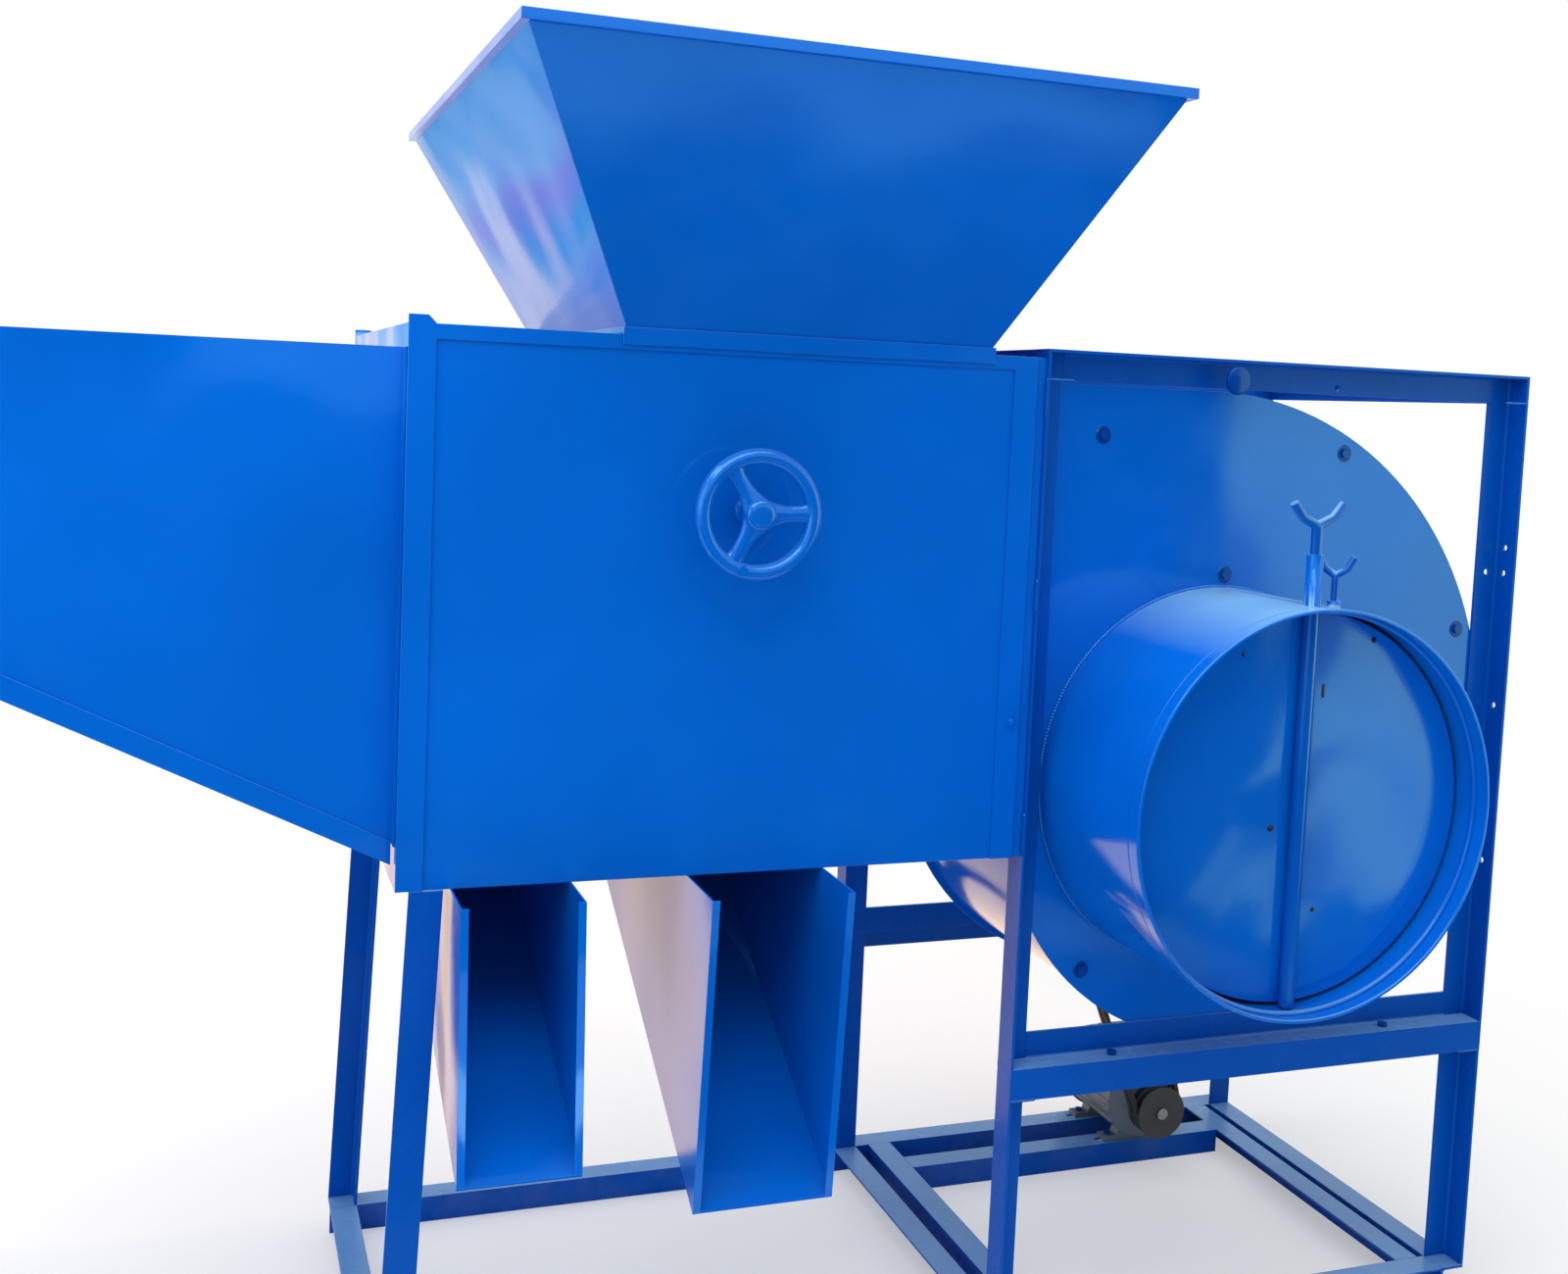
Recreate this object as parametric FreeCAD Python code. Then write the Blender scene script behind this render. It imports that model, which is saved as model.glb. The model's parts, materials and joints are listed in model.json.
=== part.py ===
# Winnowing machine: a feed hopper on a separating chamber, a centrifugal fan in an angle-iron
# frame beside it, a tapered exhaust duct, two grain chutes, and a motor with a belt drive.
# Millimetres. Working axes: X along the machine from the chamber's left side, Y away from the
# front plane, Z up from the floor. Every piece is moved to the row's origin when it is written.
import FreeCAD
import Part
import math
import os

from FreeCAD import Vector

# Driving dimensions: frame
bar = 50.0                  # leg of every angle iron
bar_wall = 5.0              # its thickness
bar_root = 5.0              # its inner fillet
depth = 820.0               # front plane to rear plane
stand_top = 520.0           # top of the stand that carries the fan frame
frame_over_scroll = 54.0    # fan frame's top above the spiral housing
frame_under_scroll = 8.0    # spiral housing's lowest point above the stand
frame_past_scroll = 17.0    # fan frame's right side past the housing
post_hole_r = 5.5
post_hole_in = 24.0         # hole line from the open edge of a post's leg
post_hole_low = 827.0
post_hole_pitch = 294.0
post_pair_height = 1368.0   # two more holes, one in each leg of the post
head_hole_in = 386.0        # hole in the front top rail, from the frame's right side
head_hole_drop = 37.0
leg_inset = 20.0            # left legs' outer edge at the top, from the chamber's side
leg_lean = 35.0             # how far the left legs spread at the foot
inner_rail_in = 80.0        # inner base rails, in from the fan frame's sides
inner_rail_in_right = 65.0

# Driving dimensions: separating chamber
sheet = 3.0                 # sheet-metal thickness
chamber_below_shaft = 115.0
chamber_below_frame = 15.0
strip = 40.0                # corner strips and their stand-off
strip_proud = 4.0
strip_rise = 12.0
lip = 22.0                  # folded lip along the top edge
collar_depth = 20.0         # flanged collar between the chamber and the fan frame
divider_height = 190.0
divider_gap = 10.0          # divider foot to the chute mouths

# Driving dimensions: hopper
hopper_left = 315.0
hopper_base_width = 603.0
hopper_right_margin = 82.0  # hopper to the chamber's right side
hopper_rear_margin = 80.0
hopper_flare_x = 209.0
hopper_flare_y = 226.0
hopper_height = 405.0
rim_out = 12.0
rim_up = 16.0
base_collar = 11.0          # ring that sits on the chamber's top
skirt_drop = 15.0           # part of the ring that overlaps the chamber's front lip
skirt_wall = 4.0
neck_width = 146.0
neck_height = 150.0
funnel_drop = 182.0
neck_end_gap = 5.0          # neck to the chamber's front panel

# Driving dimensions: exhaust duct
duct_length = 900.0
duct_drop = 35.0            # duct roof below the chamber roof
duct_sill = 65.0            # chamber bottom to the duct's floor
duct_mouth_height = 285.0
duct_inset = 40.0
duct_skirt = 35.0
duct_flange = 30.0
mouth_hole_r = 5.5

# Driving dimensions: chutes, as left edge, width, lip height, reach at the top and at the lip
chute_sizes = {"left": (80.0, 182.0, 492.0, 100.0, 130.0), "right": (442.0, 226.0, 395.0, 135.0, 95.0)}
chute_rear_gap = 40.0       # chute floor's upper end to the rear plane
chute_fold = 12.0

# Driving dimensions: fan
scroll_radius = 616.0       # first and largest arc of the spiral housing
scroll_step_share = 3 / 22  # each quarter turn is tighter by this share of it
scroll_shift_shares = (-0.0503, 0.0893)     # first arc's centre from the shaft, in the same shares
scroll_in_collar = 12.0     # last arc's left end inside the chamber's collar
drive_space = 330.0         # rear plane to the spiral's rear plate
scroll_edge = 12.0          # plate edge outside the wrapper
cutoff_rise = 15.0          # lower edge of the scroll's outlet above the chamber's bottom
inlet_share = 0.539         # inlet radius as a share of the spiral's
inlet_reach = 268.0         # inlet rim in front of the front plane
impeller_gap = 10.0         # impeller to the spiral's cut-off lip
impeller_eye_in = 10.0      # impeller's eye, inside the inlet cylinder's radius
disc_wall = 4.0
impeller_front_gap = 106.0  # front ring behind the spiral's front plate
impeller_back_gap = 24.0    # back disc before its rear plate
blade_count = 16
blade_wall = 2.5
blade_bulge = 9.0
blade_foot = 2.0            # blade ends, in from the rings' edges
hub_r = 42.0
hub_length = 78.0
shaft_r = 17.5
shaft_nose = 6.0            # shaft end in front of the hub
shaft_tail = 20.0           # shaft end behind the outer bearing's rail
shaft_chamfer = 2.0
shaft_pass_gap = 2.0        # shaft to the hole in the rear plate
channel_gap = 6.0           # shaft to the hole in the bearing's rail
fit = 0.05                  # running clearance on a radius
seat = 0.02                 # clearance of a fixed bore
bearing_square = 117.0
bearing_plate = 12.0
bearing_hub_r = 36.0
bearing_hub = 34.0
bearing_corner = 14.0
bearing_hole_in = 16.0
bearing_hole_r = 6.0
cross_rail_height = 140.0

# Driving dimensions: drive
pulley_gap = 78.0           # fan pulley behind the scroll's rear plate
pulley_width = 44.0
fan_pulley_r = 112.0
motor_pulley_r = 56.0
groove_pitch = 19.0
groove_top = 17.0
groove_floor = 14.0
groove_depth = 12.0
pulley_recess = 10.0        # depth of the hollow round the hub, at the rear
pulley_rim = 8.0            # rim below the grooves
belt_width = 13.0
belt_thick = 9.0
belt_gap = 0.5
motor_in = 311.0            # motor axis from the fan frame's right side
motor_height = 90.0
motor_foot_a = 140.0
motor_foot_b = 125.0
motor_nose = 56.0           # front feet to the shaft's shoulder
motor_r = 84.0
motor_length = 262.0
motor_shaft_r = 12.0
motor_shaft_deep = 80.0     # shaft inside the housing
motor_bolt_r = 4.8
motor_foot_side = 16.0      # foot past its bolt
motor_foot_long = 30.0
motor_foot_thick = 10.0
motor_foot_rise = 34.0
motor_foot_waist = 46.0
motor_shield = 34.0
motor_cowl = 46.0
motor_cowl_proud = 5.0
motor_fin = 5.0
motor_fin_wall = 2.4
fin_count = 16
terminal_box = (96.0, 90.0, 46.0)
terminal_box_back = 10.0    # behind the front feet
slot_length = 60.0
slot_r = 5.5

# Driving dimensions: feed gate and handwheel
gate_in = 198.0             # gate shaft from the hopper's left side
gate_below_top = 260.0
gate_shaft_r = 10.0
gate_wall = 3.0
gate_gap = 3.0
gate_end_gap = 3.0
wheel_r = 100.0
wheel_rim_r = 11.0          # rim's half width, and its half depth
wheel_rim_deep = 13.0
wheel_front = 62.0          # rim plane in front of the front plane
wheel_hub_r = 23.0
wheel_hub = 40.0
wheel_cap = 6.0             # closed front of the hub
wheel_rim_sides = 10
spoke_wall = 11.0
boss_r = 18.0
boss_length = 24.0
grip_angle = 252.0
grip_reach = 18.0           # stub in front of the rim

# Driving dimensions: damper
damper_back = 58.0          # spindle behind the inlet's rim
damper_gap = 7.0
spindle_r = 9.0
spindle_tube_r = 13.0
pivot_r = 6.0
pivot_length = 8.0
sleeve_wall = 4.5
sleeve_height = 82.0
spindle_rise = 46.0         # spindle top above the sleeve
fork_r = 7.5
fork_spread = 47.0
fork_rise = 36.0
lock_offset = 41.0
lock_r = 6.0
lock_rise = 40.0
lock_arm = 28.0
lock_arm_rise = 32.0
lock_heading = -40.0        # degrees, wings from the machine's length
lock_pad_r = 11.0

# Driving dimensions: bolts
bolt_r = 5.0
bolt_gap = 0.5              # bolts to their holes
corner_bolt = (154.0, 83.0)     # scroll plate's upper left bolt, in from its corner
rim_bolt_in = 30.0          # the others, in from the spiral's edge
rim_bolt_turns = ((0, 62.0), (0, 20.0), (2, -133.0))    # each on an arc, at a turn in degrees
inlet_bolt_out = 22.0
bolt_head_r = 9.2
bolt_head = 7.0
foot_bolt_head_r = 8.0
foot_bolt_head = 6.0

# Places worked out from the driving dimensions
rail_top = bar
front_skin = strip_proud + sheet
chamber_width = hopper_left + hopper_base_width + hopper_right_margin
hopper_base_depth = depth - hopper_rear_margin
fan_left = chamber_width + collar_depth
scroll_step = scroll_radius * scroll_step_share
scroll_shift_x = scroll_radius * scroll_shift_shares[0]
scroll_shift_z = scroll_radius * scroll_shift_shares[1]
scroll_x = fan_left - scroll_in_collar + scroll_radius - 3 * scroll_step
scroll_z = stand_top + frame_under_scroll + scroll_radius - scroll_step
scroll_top = scroll_z + scroll_radius
shaft_x = scroll_x - scroll_shift_x
shaft_z = scroll_z - scroll_shift_z
fan_right = scroll_x + scroll_radius + frame_past_scroll
fan_frame_width = fan_right - fan_left
fan_top = scroll_top + frame_over_scroll
fan_frame_height = fan_top - stand_top
chamber_bottom = shaft_z - chamber_below_shaft
chamber_top = fan_top - chamber_below_frame
outlet_x = chamber_width + sheet
inlet_r = scroll_radius * inlet_share
plate_front = bar
rear_plate = depth - drive_space
scroll_depth = rear_plate - plate_front
impeller_front = plate_front + impeller_front_gap
impeller_back = rear_plate - impeller_back_gap
pulley_front = rear_plate + pulley_gap
motor_x = fan_right - motor_in
motor_z = rail_top + motor_height
motor_rear_foot = depth - bar / 2
motor_front_foot = motor_rear_foot - motor_foot_b
motor_shoulder = motor_front_foot - motor_nose
gate_x = hopper_left + gate_in
gate_z = chamber_top - gate_below_top
neck_left = gate_x - neck_width / 2
neck_top = chamber_top - sheet - funnel_drop
neck_front = front_skin + neck_end_gap
neck_rear = hopper_base_depth - neck_end_gap
rim_top = chamber_top + hopper_height
inlet_bore_r = inlet_r - sheet
damper_y = damper_back - inlet_reach
damper_r = inlet_bore_r - damper_gap
sleeve_top = shaft_z + inlet_r + sleeve_height
duct_top = chamber_top - duct_drop
duct_root_low = chamber_bottom + duct_sill
duct_root_height = duct_top - duct_root_low
origin_x = (fan_right - duct_length) / 2
origin_y = (hopper_base_depth + hopper_flare_y - inlet_reach) / 2

X = Vector(1, 0, 0)
Y = Vector(0, 1, 0)
Z = Vector(0, 0, 1)


def block(x0, x1, y0, y1, z0, z1):
    """Box between two corners."""
    return Part.makeBox(x1 - x0, y1 - y0, z1 - z0, Vector(x0, y0, z0))


def rod(radius, start, end):
    """Round bar from one point to another."""
    run = end - start
    return Part.makeCylinder(radius, run.Length, start, run)


def prism(points, run):
    """Straight extrusion of a closed polygon."""
    return Part.Face(Part.makePolygon(points + points[:1])).extrude(run)


def side_plate(outline, y0, wall):
    """Plate with an outline given as (x, z) points, from y0 backwards."""
    return prism([Vector(x, y0, z) for x, z in outline], Y * wall)


def angle_bar(heel, a, b, run):
    """Rolled angle: heel line at the corner, one leg along a and the other along b."""
    toe = bar_wall + bar_root
    mid = bar_wall + bar_root * (1 - math.sqrt(0.5))
    corners = [(0, 0), (bar, 0), (bar, bar_wall), (toe, bar_wall)]
    far = [(bar_wall, toe), (bar_wall, bar), (0, bar), (0, 0)]
    place = lambda pair: heel + a * pair[0] + b * pair[1]
    edges = [Part.makeLine(place(p), place(q)) for p, q in zip(corners, corners[1:])]
    edges.append(Part.Arc(place(corners[-1]), place((mid, mid)), place(far[0])).toShape())
    edges += [Part.makeLine(place(p), place(q)) for p, q in zip(far, far[1:])]
    return Part.Face(Part.Wire(edges)).extrude(run)


def frustum(rect0, z0, rect1, z1):
    """Solid between two level rectangles, each given as (x0, x1, y0, y1)."""
    low, high = [
        [Vector(r[0], r[2], z), Vector(r[1], r[2], z), Vector(r[1], r[3], z), Vector(r[0], r[3], z)]
        for r, z in ((rect0, z0), (rect1, z1))
    ]
    rings = [low, high]
    for i in range(4):
        j = (i + 1) % 4
        rings.append([low[i], low[j], high[j], high[i]])
    faces = [Part.Face(Part.makePolygon(ring + ring[:1])) for ring in rings]
    solid = Part.makeSolid(Part.makeShell(faces))
    if solid.Volume < 0:
        solid.reverse()
    return solid


def inset(rect, by):
    """Rectangle made smaller by the same amount on all four sides."""
    return (rect[0] + by, rect[1] - by, rect[2] + by, rect[3] - by)


def funnel(rect0, z0, rect1, z1, wall):
    """Open four-sided sheet funnel."""
    return frustum(rect0, z0, rect1, z1).cut(frustum(inset(rect0, wall), z0, inset(rect1, wall), z1))


def ring_on_y(outer_r, inner_r, y0, y1, x=shaft_x, z=shaft_z):
    """Flat ring or tube round an axis along Y."""
    outer = Part.makeCylinder(outer_r, y1 - y0, Vector(x, y0, z), Y)
    return outer.cut(Part.makeCylinder(inner_r, y1 - y0, Vector(x, y0, z), Y))


def turned(profile, x, z, close=True):
    """Solid of revolution about an axis along Y, from (radius, y) points."""
    points = [Vector(x + r, y, z) for r, y in profile]
    face = Part.Face(Part.makePolygon(points + points[:1]))
    return face.revolve(Vector(x, 0, z), Y, 360)


def hexagon(centre, axis, height, radius=bolt_head_r):
    """Hexagonal head with its base at the centre."""
    side = X if abs(axis.dot(X)) < 0.5 else Z
    other = axis.cross(side)
    turns = [math.radians(60 * k) for k in range(6)]
    points = [centre + side * (radius * math.cos(t)) + other * (radius * math.sin(t)) for t in turns]
    return prism(points, axis * height)


def fuse(pieces):
    """One solid from touching pieces, without leftover seams."""
    first = pieces[0]
    return first.multiFuse(pieces[1:]).removeSplitter()


parts = {}

# Base frame of angle irons, flat legs on top and upright legs inside
left_rail_x = leg_inset - leg_lean
rail_run = Y * (depth - bar)
parts["base_rail_left"] = angle_bar(Vector(left_rail_x + bar, 0, rail_top), -X, -Z, rail_run)
parts["base_rail_middle"] = angle_bar(Vector(fan_left + bar, 0, rail_top), -X, -Z, rail_run)
parts["base_rail_right"] = angle_bar(Vector(fan_right - bar, 0, rail_top), X, -Z, rail_run)
front_run = X * (fan_frame_width - 2 * bar)
parts["base_rail_front"] = angle_bar(Vector(fan_left + bar, bar, rail_top), -Y, -Z, front_run)
rear_run = X * (fan_right - left_rail_x)
rear_rail = angle_bar(Vector(left_rail_x, depth - bar, rail_top), Y, -Z, rear_run)

inner_left = fan_left + inner_rail_in
inner_right = fan_right - inner_rail_in_right
inner_run = Y * (depth - 2 * bar)
parts["base_inner_rail_left"] = angle_bar(Vector(inner_left, bar, rail_top), X, -Z, inner_run)
parts["base_inner_rail_right"] = angle_bar(Vector(inner_right, bar, rail_top), -X, -Z, inner_run)
slide_start = Vector(inner_left + bar, motor_front_foot - bar / 2, rail_top)
slide = angle_bar(slide_start, Y, -Z, X * (inner_right - inner_left - 2 * bar))


def slot_cut(x, y):
    """Lengthwise slot for a motor foot bolt."""
    half = slot_length / 2 - slot_r
    low, high = rail_top - bar_wall, rail_top
    slot = block(x - half, x + half, y - slot_r, y + slot_r, low, high)
    for end in (-half, half):
        slot = slot.fuse(rod(slot_r, Vector(x + end, y, low), Vector(x + end, y, high)))
    return slot


foot_xs = [motor_x - motor_foot_a / 2, motor_x + motor_foot_a / 2]
for foot_x in foot_xs:
    slide = slide.cut(slot_cut(foot_x, motor_front_foot))
    rear_rail = rear_rail.cut(slot_cut(foot_x, motor_rear_foot))
parts["motor_slide_rail"] = slide
parts["base_rail_rear"] = rear_rail

# Left legs spread outwards, with level ends
leg_run = Vector(leg_lean, 0, chamber_bottom - rail_top)
foot_heel = left_rail_x + bar
parts["leg_front_left"] = angle_bar(Vector(foot_heel, 0, rail_top), -X, Y, leg_run)
parts["leg_rear_left"] = angle_bar(Vector(foot_heel, depth, rail_top), -X, -Y, leg_run)

# Stand and fan frame: every upright has its heel towards the inside of the machine
frame_rows = {"front": (bar, -Y, 0.0), "rear": (depth - bar, Y, depth)}
frame_bolts_x = [fan_left + 0.21 * fan_frame_width, fan_left + 0.79 * fan_frame_width]


def flange_holes(member, y):
    """Bolt holes through the level flanges where fan frame meets stand."""
    for x in frame_bolts_x:
        low = Vector(x, y, stand_top - bar)
        member = member.cut(rod(bolt_r + bolt_gap, low, low + Z * (2 * bar)))
    return member


for row, (heel_y, out, face_y) in frame_rows.items():
    bolt_y = heel_y + out.y * bar / 2
    sides = {"left": (fan_left, X), "right": (fan_right, -X)}
    rail_x = X * fan_frame_width
    stand = angle_bar(Vector(fan_left, face_y, stand_top), -out, -Z, rail_x)
    for side, (heel_x, inward) in sides.items():
        post_run = Z * (fan_frame_height - 2 * bar_wall)
        post = angle_bar(Vector(heel_x, heel_y, stand_top + bar_wall), inward, out, post_run)
        parts["fan_post_%s_%s" % (row, side)] = post
        leg = angle_bar(Vector(heel_x, heel_y, rail_top), inward, out, Z * (stand_top - bar_wall - rail_top))
        parts["stand_leg_%s_%s" % (row, side)] = leg.cut(stand)
    parts["stand_rail_%s" % row] = flange_holes(stand, bolt_y)
    sill = angle_bar(Vector(fan_left, heel_y, stand_top), out, Z, rail_x)
    sill = sill.cut(block(fan_left, fan_left + bar, 0, depth, stand_top + bar_wall, stand_top + bar))
    sill = sill.cut(block(fan_right - bar, fan_right, 0, depth, stand_top + bar_wall, stand_top + bar))
    parts["fan_rail_bottom_%s" % row] = flange_holes(sill, bolt_y)
    head = angle_bar(Vector(fan_left, heel_y, fan_top), out, -Z, rail_x)
    head = head.cut(block(fan_left, fan_left + bar, 0, depth, fan_top - bar, fan_top - bar_wall))
    head = head.cut(block(fan_right - bar, fan_right, 0, depth, fan_top - bar, fan_top - bar_wall))
    parts["fan_rail_top_%s" % row] = head

# Spare holes in the front right post, in its side leg and its back leg
side_low = Vector(fan_right - bar_wall, bar - post_hole_in, 0)
back_low = Vector(fan_right - bar + post_hole_in, bar - bar_wall, 0)
spare_heights = [post_hole_low + k * post_hole_pitch for k in range(3)] + [post_pair_height]
post = parts["fan_post_front_right"]
for place in [side_low + Z * height for height in spare_heights]:
    post = post.cut(rod(post_hole_r, place, place + X * bar_wall))
back_low = back_low + Z * post_pair_height
parts["fan_post_front_right"] = post.cut(rod(post_hole_r, back_low, back_low + Y * bar_wall))
head_hole = Vector(fan_right - head_hole_in, bar - bar_wall, fan_top - head_hole_drop)
head_hole = rod(post_hole_r, head_hole, head_hole + Y * bar_wall)
parts["fan_rail_top_front"] = parts["fan_rail_top_front"].cut(head_hole)

tie_run = Y * (depth - 2 * bar)
parts["fan_tie_left"] = angle_bar(Vector(fan_left, bar, fan_top), X, -Z, tie_run)
parts["fan_tie_right"] = angle_bar(Vector(fan_right, bar, fan_top), -X, -Z, tie_run)

# Separating chamber: front and rear skins with raised corner strips and a folded lip


def chamber_skin(mirrored):
    """Front skin, or the rear one when mirrored about the mid plane."""
    skin = block(0, chamber_width, strip_proud, front_skin, chamber_bottom, chamber_top)
    high = chamber_top + strip_rise
    strip_left = [(0, chamber_bottom), (strip, chamber_bottom), (strip, chamber_top)]
    strip_left += [(strip - strip_rise, high), (0, high)]
    strip_right = [(chamber_width - x, min(z, chamber_top)) for x, z in strip_left[:3]]
    strip_right += [(chamber_width, chamber_top)]
    pieces = [skin, side_plate(strip_left, 0, strip_proud), side_plate(strip_right, 0, strip_proud)]
    pieces.append(block(strip, chamber_width - strip, 0, strip_proud, chamber_top - lip, chamber_top))
    solid = fuse(pieces)
    if mirrored:
        solid = solid.mirror(Vector(0, depth / 2, 0), Y)
    return solid


gate_axis = Vector(gate_x, 0, gate_z)
front_boss = rod(boss_r, gate_axis + Y * (strip_proud - boss_length), gate_axis + Y * front_skin)
rear_boss = rod(boss_r, gate_axis + Y * (depth - front_skin), gate_axis + Y * (depth + sheet))
gate_bore = rod(gate_shaft_r + fit, gate_axis - Y * wheel_front, gate_axis + Y * (depth + bar))
parts["chamber_front_panel"] = fuse([chamber_skin(False), front_boss]).cut(gate_bore)
parts["chamber_rear_panel"] = fuse([chamber_skin(True), rear_boss]).cut(gate_bore)

inside_y = (front_skin, depth - front_skin)
hopper_rect = (hopper_left, hopper_left + hopper_base_width, 0.0, hopper_base_depth)
throat = (hopper_rect[0] + sheet, hopper_rect[1] - sheet, neck_front, neck_rear)
roof = block(0, chamber_width, inside_y[0], inside_y[1], chamber_top - sheet, chamber_top)
roof_fold = block(0, sheet, inside_y[0], inside_y[1], chamber_top - duct_drop, chamber_top - sheet)
roof_hole = block(throat[0], throat[1], throat[2], throat[3], chamber_top - sheet, chamber_top)
parts["chamber_roof"] = fuse([roof, roof_fold]).cut(roof_hole)

floor_plate = block(0, chamber_width, inside_y[0], inside_y[1], chamber_bottom, chamber_bottom + sheet)
floor_sill = block(0, sheet, inside_y[0], inside_y[1], chamber_bottom + sheet, duct_root_low)
chamber_floor = fuse([floor_plate, floor_sill])
chute_rear = depth - chute_rear_gap
for left, width, lip_z, reach_top, reach_lip in chute_sizes.values():
    mouth = block(left + sheet, left + width - sheet, front_skin, chute_rear - bar,
                  chamber_bottom, chamber_bottom + sheet)
    chamber_floor = chamber_floor.cut(mouth)
parts["chamber_floor"] = chamber_floor

foot0 = chute_sizes["left"][0] + chute_sizes["left"][1] + divider_gap
foot1 = chute_sizes["right"][0] - divider_gap
crest = (foot0 + foot1) / 2
floor_z = chamber_bottom + sheet
ridge = [(foot0, floor_z), (crest, floor_z + divider_height), (foot1, floor_z)]
slope = divider_height / (crest - foot0)
cover = sheet * math.sqrt(1 + 1 / slope ** 2)
inner_crest = floor_z + divider_height - cover * slope
ridge += [(foot1 - cover, floor_z), (crest, inner_crest), (foot0 + cover, floor_z)]
parts["chamber_divider"] = side_plate(ridge, inside_y[0], inside_y[1] - inside_y[0])


scroll_centres = [(scroll_x, scroll_z), (scroll_x + scroll_step, scroll_z)]
scroll_centres.append((scroll_x + scroll_step, scroll_z - scroll_step))


def on_scroll(arc, turn, offset):
    """Point at a turn in degrees on one of the spiral's arcs, drawn in from the outer edge."""
    radius = scroll_radius - arc * scroll_step - offset
    x, z = scroll_centres[arc]
    return Vector(x + radius * math.cos(math.radians(turn)), 0, z + radius * math.sin(math.radians(turn)))


def lip_turn(offset):
    """Turn at which the last arc meets the level cut-off lip."""
    low = chamber_bottom + cutoff_rise + offset
    radius = scroll_radius - 2 * scroll_step - offset
    return -180 + math.degrees(math.asin((scroll_centres[2][1] - low) / radius))


def scroll_face(offset):
    """Spiral drawn in from its outer edge: level top, three arcs, cut-off lip and outlet edge."""
    top_corner = Vector(outlet_x, 0, scroll_top - offset)
    low_corner = Vector(outlet_x, 0, chamber_bottom + cutoff_rise + offset)
    edges = [Part.makeLine(top_corner, on_scroll(0, 90, offset))]
    for arc, (start, end) in enumerate([(90, 0), (0, -90), (-90, lip_turn(offset))]):
        turns = (start, (start + end) / 2, end)
        edges.append(Part.Arc(*[on_scroll(arc, turn, offset) for turn in turns]).toShape())
    edges.append(Part.makeLine(on_scroll(2, lip_turn(offset), offset), low_corner))
    edges.append(Part.makeLine(low_corner, top_corner))
    return Part.Face(Part.Wire(edges))


def at_y(shape, y):
    """Copy moved back to y."""
    copy = shape.copy()
    copy.translate(Y * y)
    return copy


# Fan housing: two spiral plates, a wrapper between them, and the inlet cylinder
plate_face = scroll_face(0)
front_plate = at_y(plate_face.extrude(Y * sheet), plate_front)
rear_shell = at_y(plate_face.extrude(Y * sheet), rear_plate)
bore_y = Vector(shaft_x, plate_front - 1, shaft_z)
front_plate = front_plate.cut(Part.makeCylinder(inlet_r, sheet + 2, bore_y, Y))
shaft_pass = rod(shaft_r + shaft_pass_gap, Vector(shaft_x, rear_plate, shaft_z),
                 Vector(shaft_x, rear_plate + sheet, shaft_z))
parts["scroll_rear_plate"] = rear_shell.cut(shaft_pass)
wrap_outer = scroll_face(scroll_edge)
wrap_inner = scroll_face(scroll_edge + sheet)
wrap_span = scroll_depth - sheet
wrapper = wrap_outer.extrude(Y * wrap_span).cut(wrap_inner.extrude(Y * wrap_span))
parts["scroll_wrapper"] = at_y(wrapper, plate_front + sheet)

outlet_top = scroll_top - scroll_edge - sheet
collar = block(chamber_width, outlet_x, inside_y[0], inside_y[1], chamber_bottom, chamber_top)
for y0, y1 in ((inside_y[0], inside_y[0] + sheet), (inside_y[1] - sheet, inside_y[1])):
    collar = collar.fuse(block(outlet_x, fan_left, y0, y1, chamber_bottom, chamber_top))
for z0, z1 in ((chamber_bottom, chamber_bottom + sheet), (chamber_top - sheet, chamber_top)):
    collar = collar.fuse(block(outlet_x, fan_left, inside_y[0], inside_y[1], z0, z1))
outlet_low = chamber_bottom + cutoff_rise + scroll_edge + sheet
outlet = block(chamber_width, outlet_x, plate_front + sheet, rear_plate, outlet_low, outlet_top)
scroll_space = at_y(plate_face.extrude(Y * (scroll_depth + sheet)), plate_front)
parts["chamber_right_collar"] = collar.removeSplitter().cut(outlet).cut(scroll_space)

plate_bolts = [Vector(outlet_x + corner_bolt[0], 0, scroll_top - corner_bolt[1])]
plate_bolts.append(Vector(shaft_x + bolt_r * 2, 0, shaft_z + inlet_r + inlet_bolt_out))
plate_bolts += [on_scroll(arc, turn, rim_bolt_in) for arc, turn in rim_bolt_turns]
for place in plate_bolts:
    start = place + Y * plate_front
    front_plate = front_plate.cut(rod(bolt_r + bolt_gap, start, start + Y * sheet))
parts["scroll_front_plate"] = front_plate

tube = ring_on_y(inlet_r, inlet_bore_r, -inlet_reach, plate_front + sheet)
lock_x = shaft_x + lock_offset
pad_low = shaft_z + math.sqrt(inlet_r ** 2 - (lock_offset + lock_pad_r) ** 2)
pad_top = shaft_z + inlet_r + 8
sleeve_low = Vector(shaft_x, damper_y, shaft_z + inlet_bore_r - sheet)
sleeve = rod(spindle_r + sleeve_wall, sleeve_low, Vector(shaft_x, damper_y, sleeve_top))
pad = rod(lock_pad_r, Vector(lock_x, damper_y, pad_low - sheet), Vector(lock_x, damper_y, pad_top))
pivot_cup = rod(pivot_r + 4, Vector(shaft_x, damper_y, shaft_z - inlet_r - 6),
                Vector(shaft_x, damper_y, shaft_z - inlet_bore_r + sheet))
inlet_mouth = Vector(shaft_x, -inlet_reach, shaft_z)
air_way = Part.makeCylinder(inlet_bore_r, inlet_reach, inlet_mouth, Y)
cylinder = fuse([tube, sleeve.fuse([pad, pivot_cup]).cut(air_way)])
top_hole = rod(spindle_r + fit, Vector(shaft_x, damper_y, shaft_z), Vector(shaft_x, damper_y, sleeve_top))
lock_hole = rod(lock_r + fit, Vector(lock_x, damper_y, shaft_z), Vector(lock_x, damper_y, pad_top))
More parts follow.
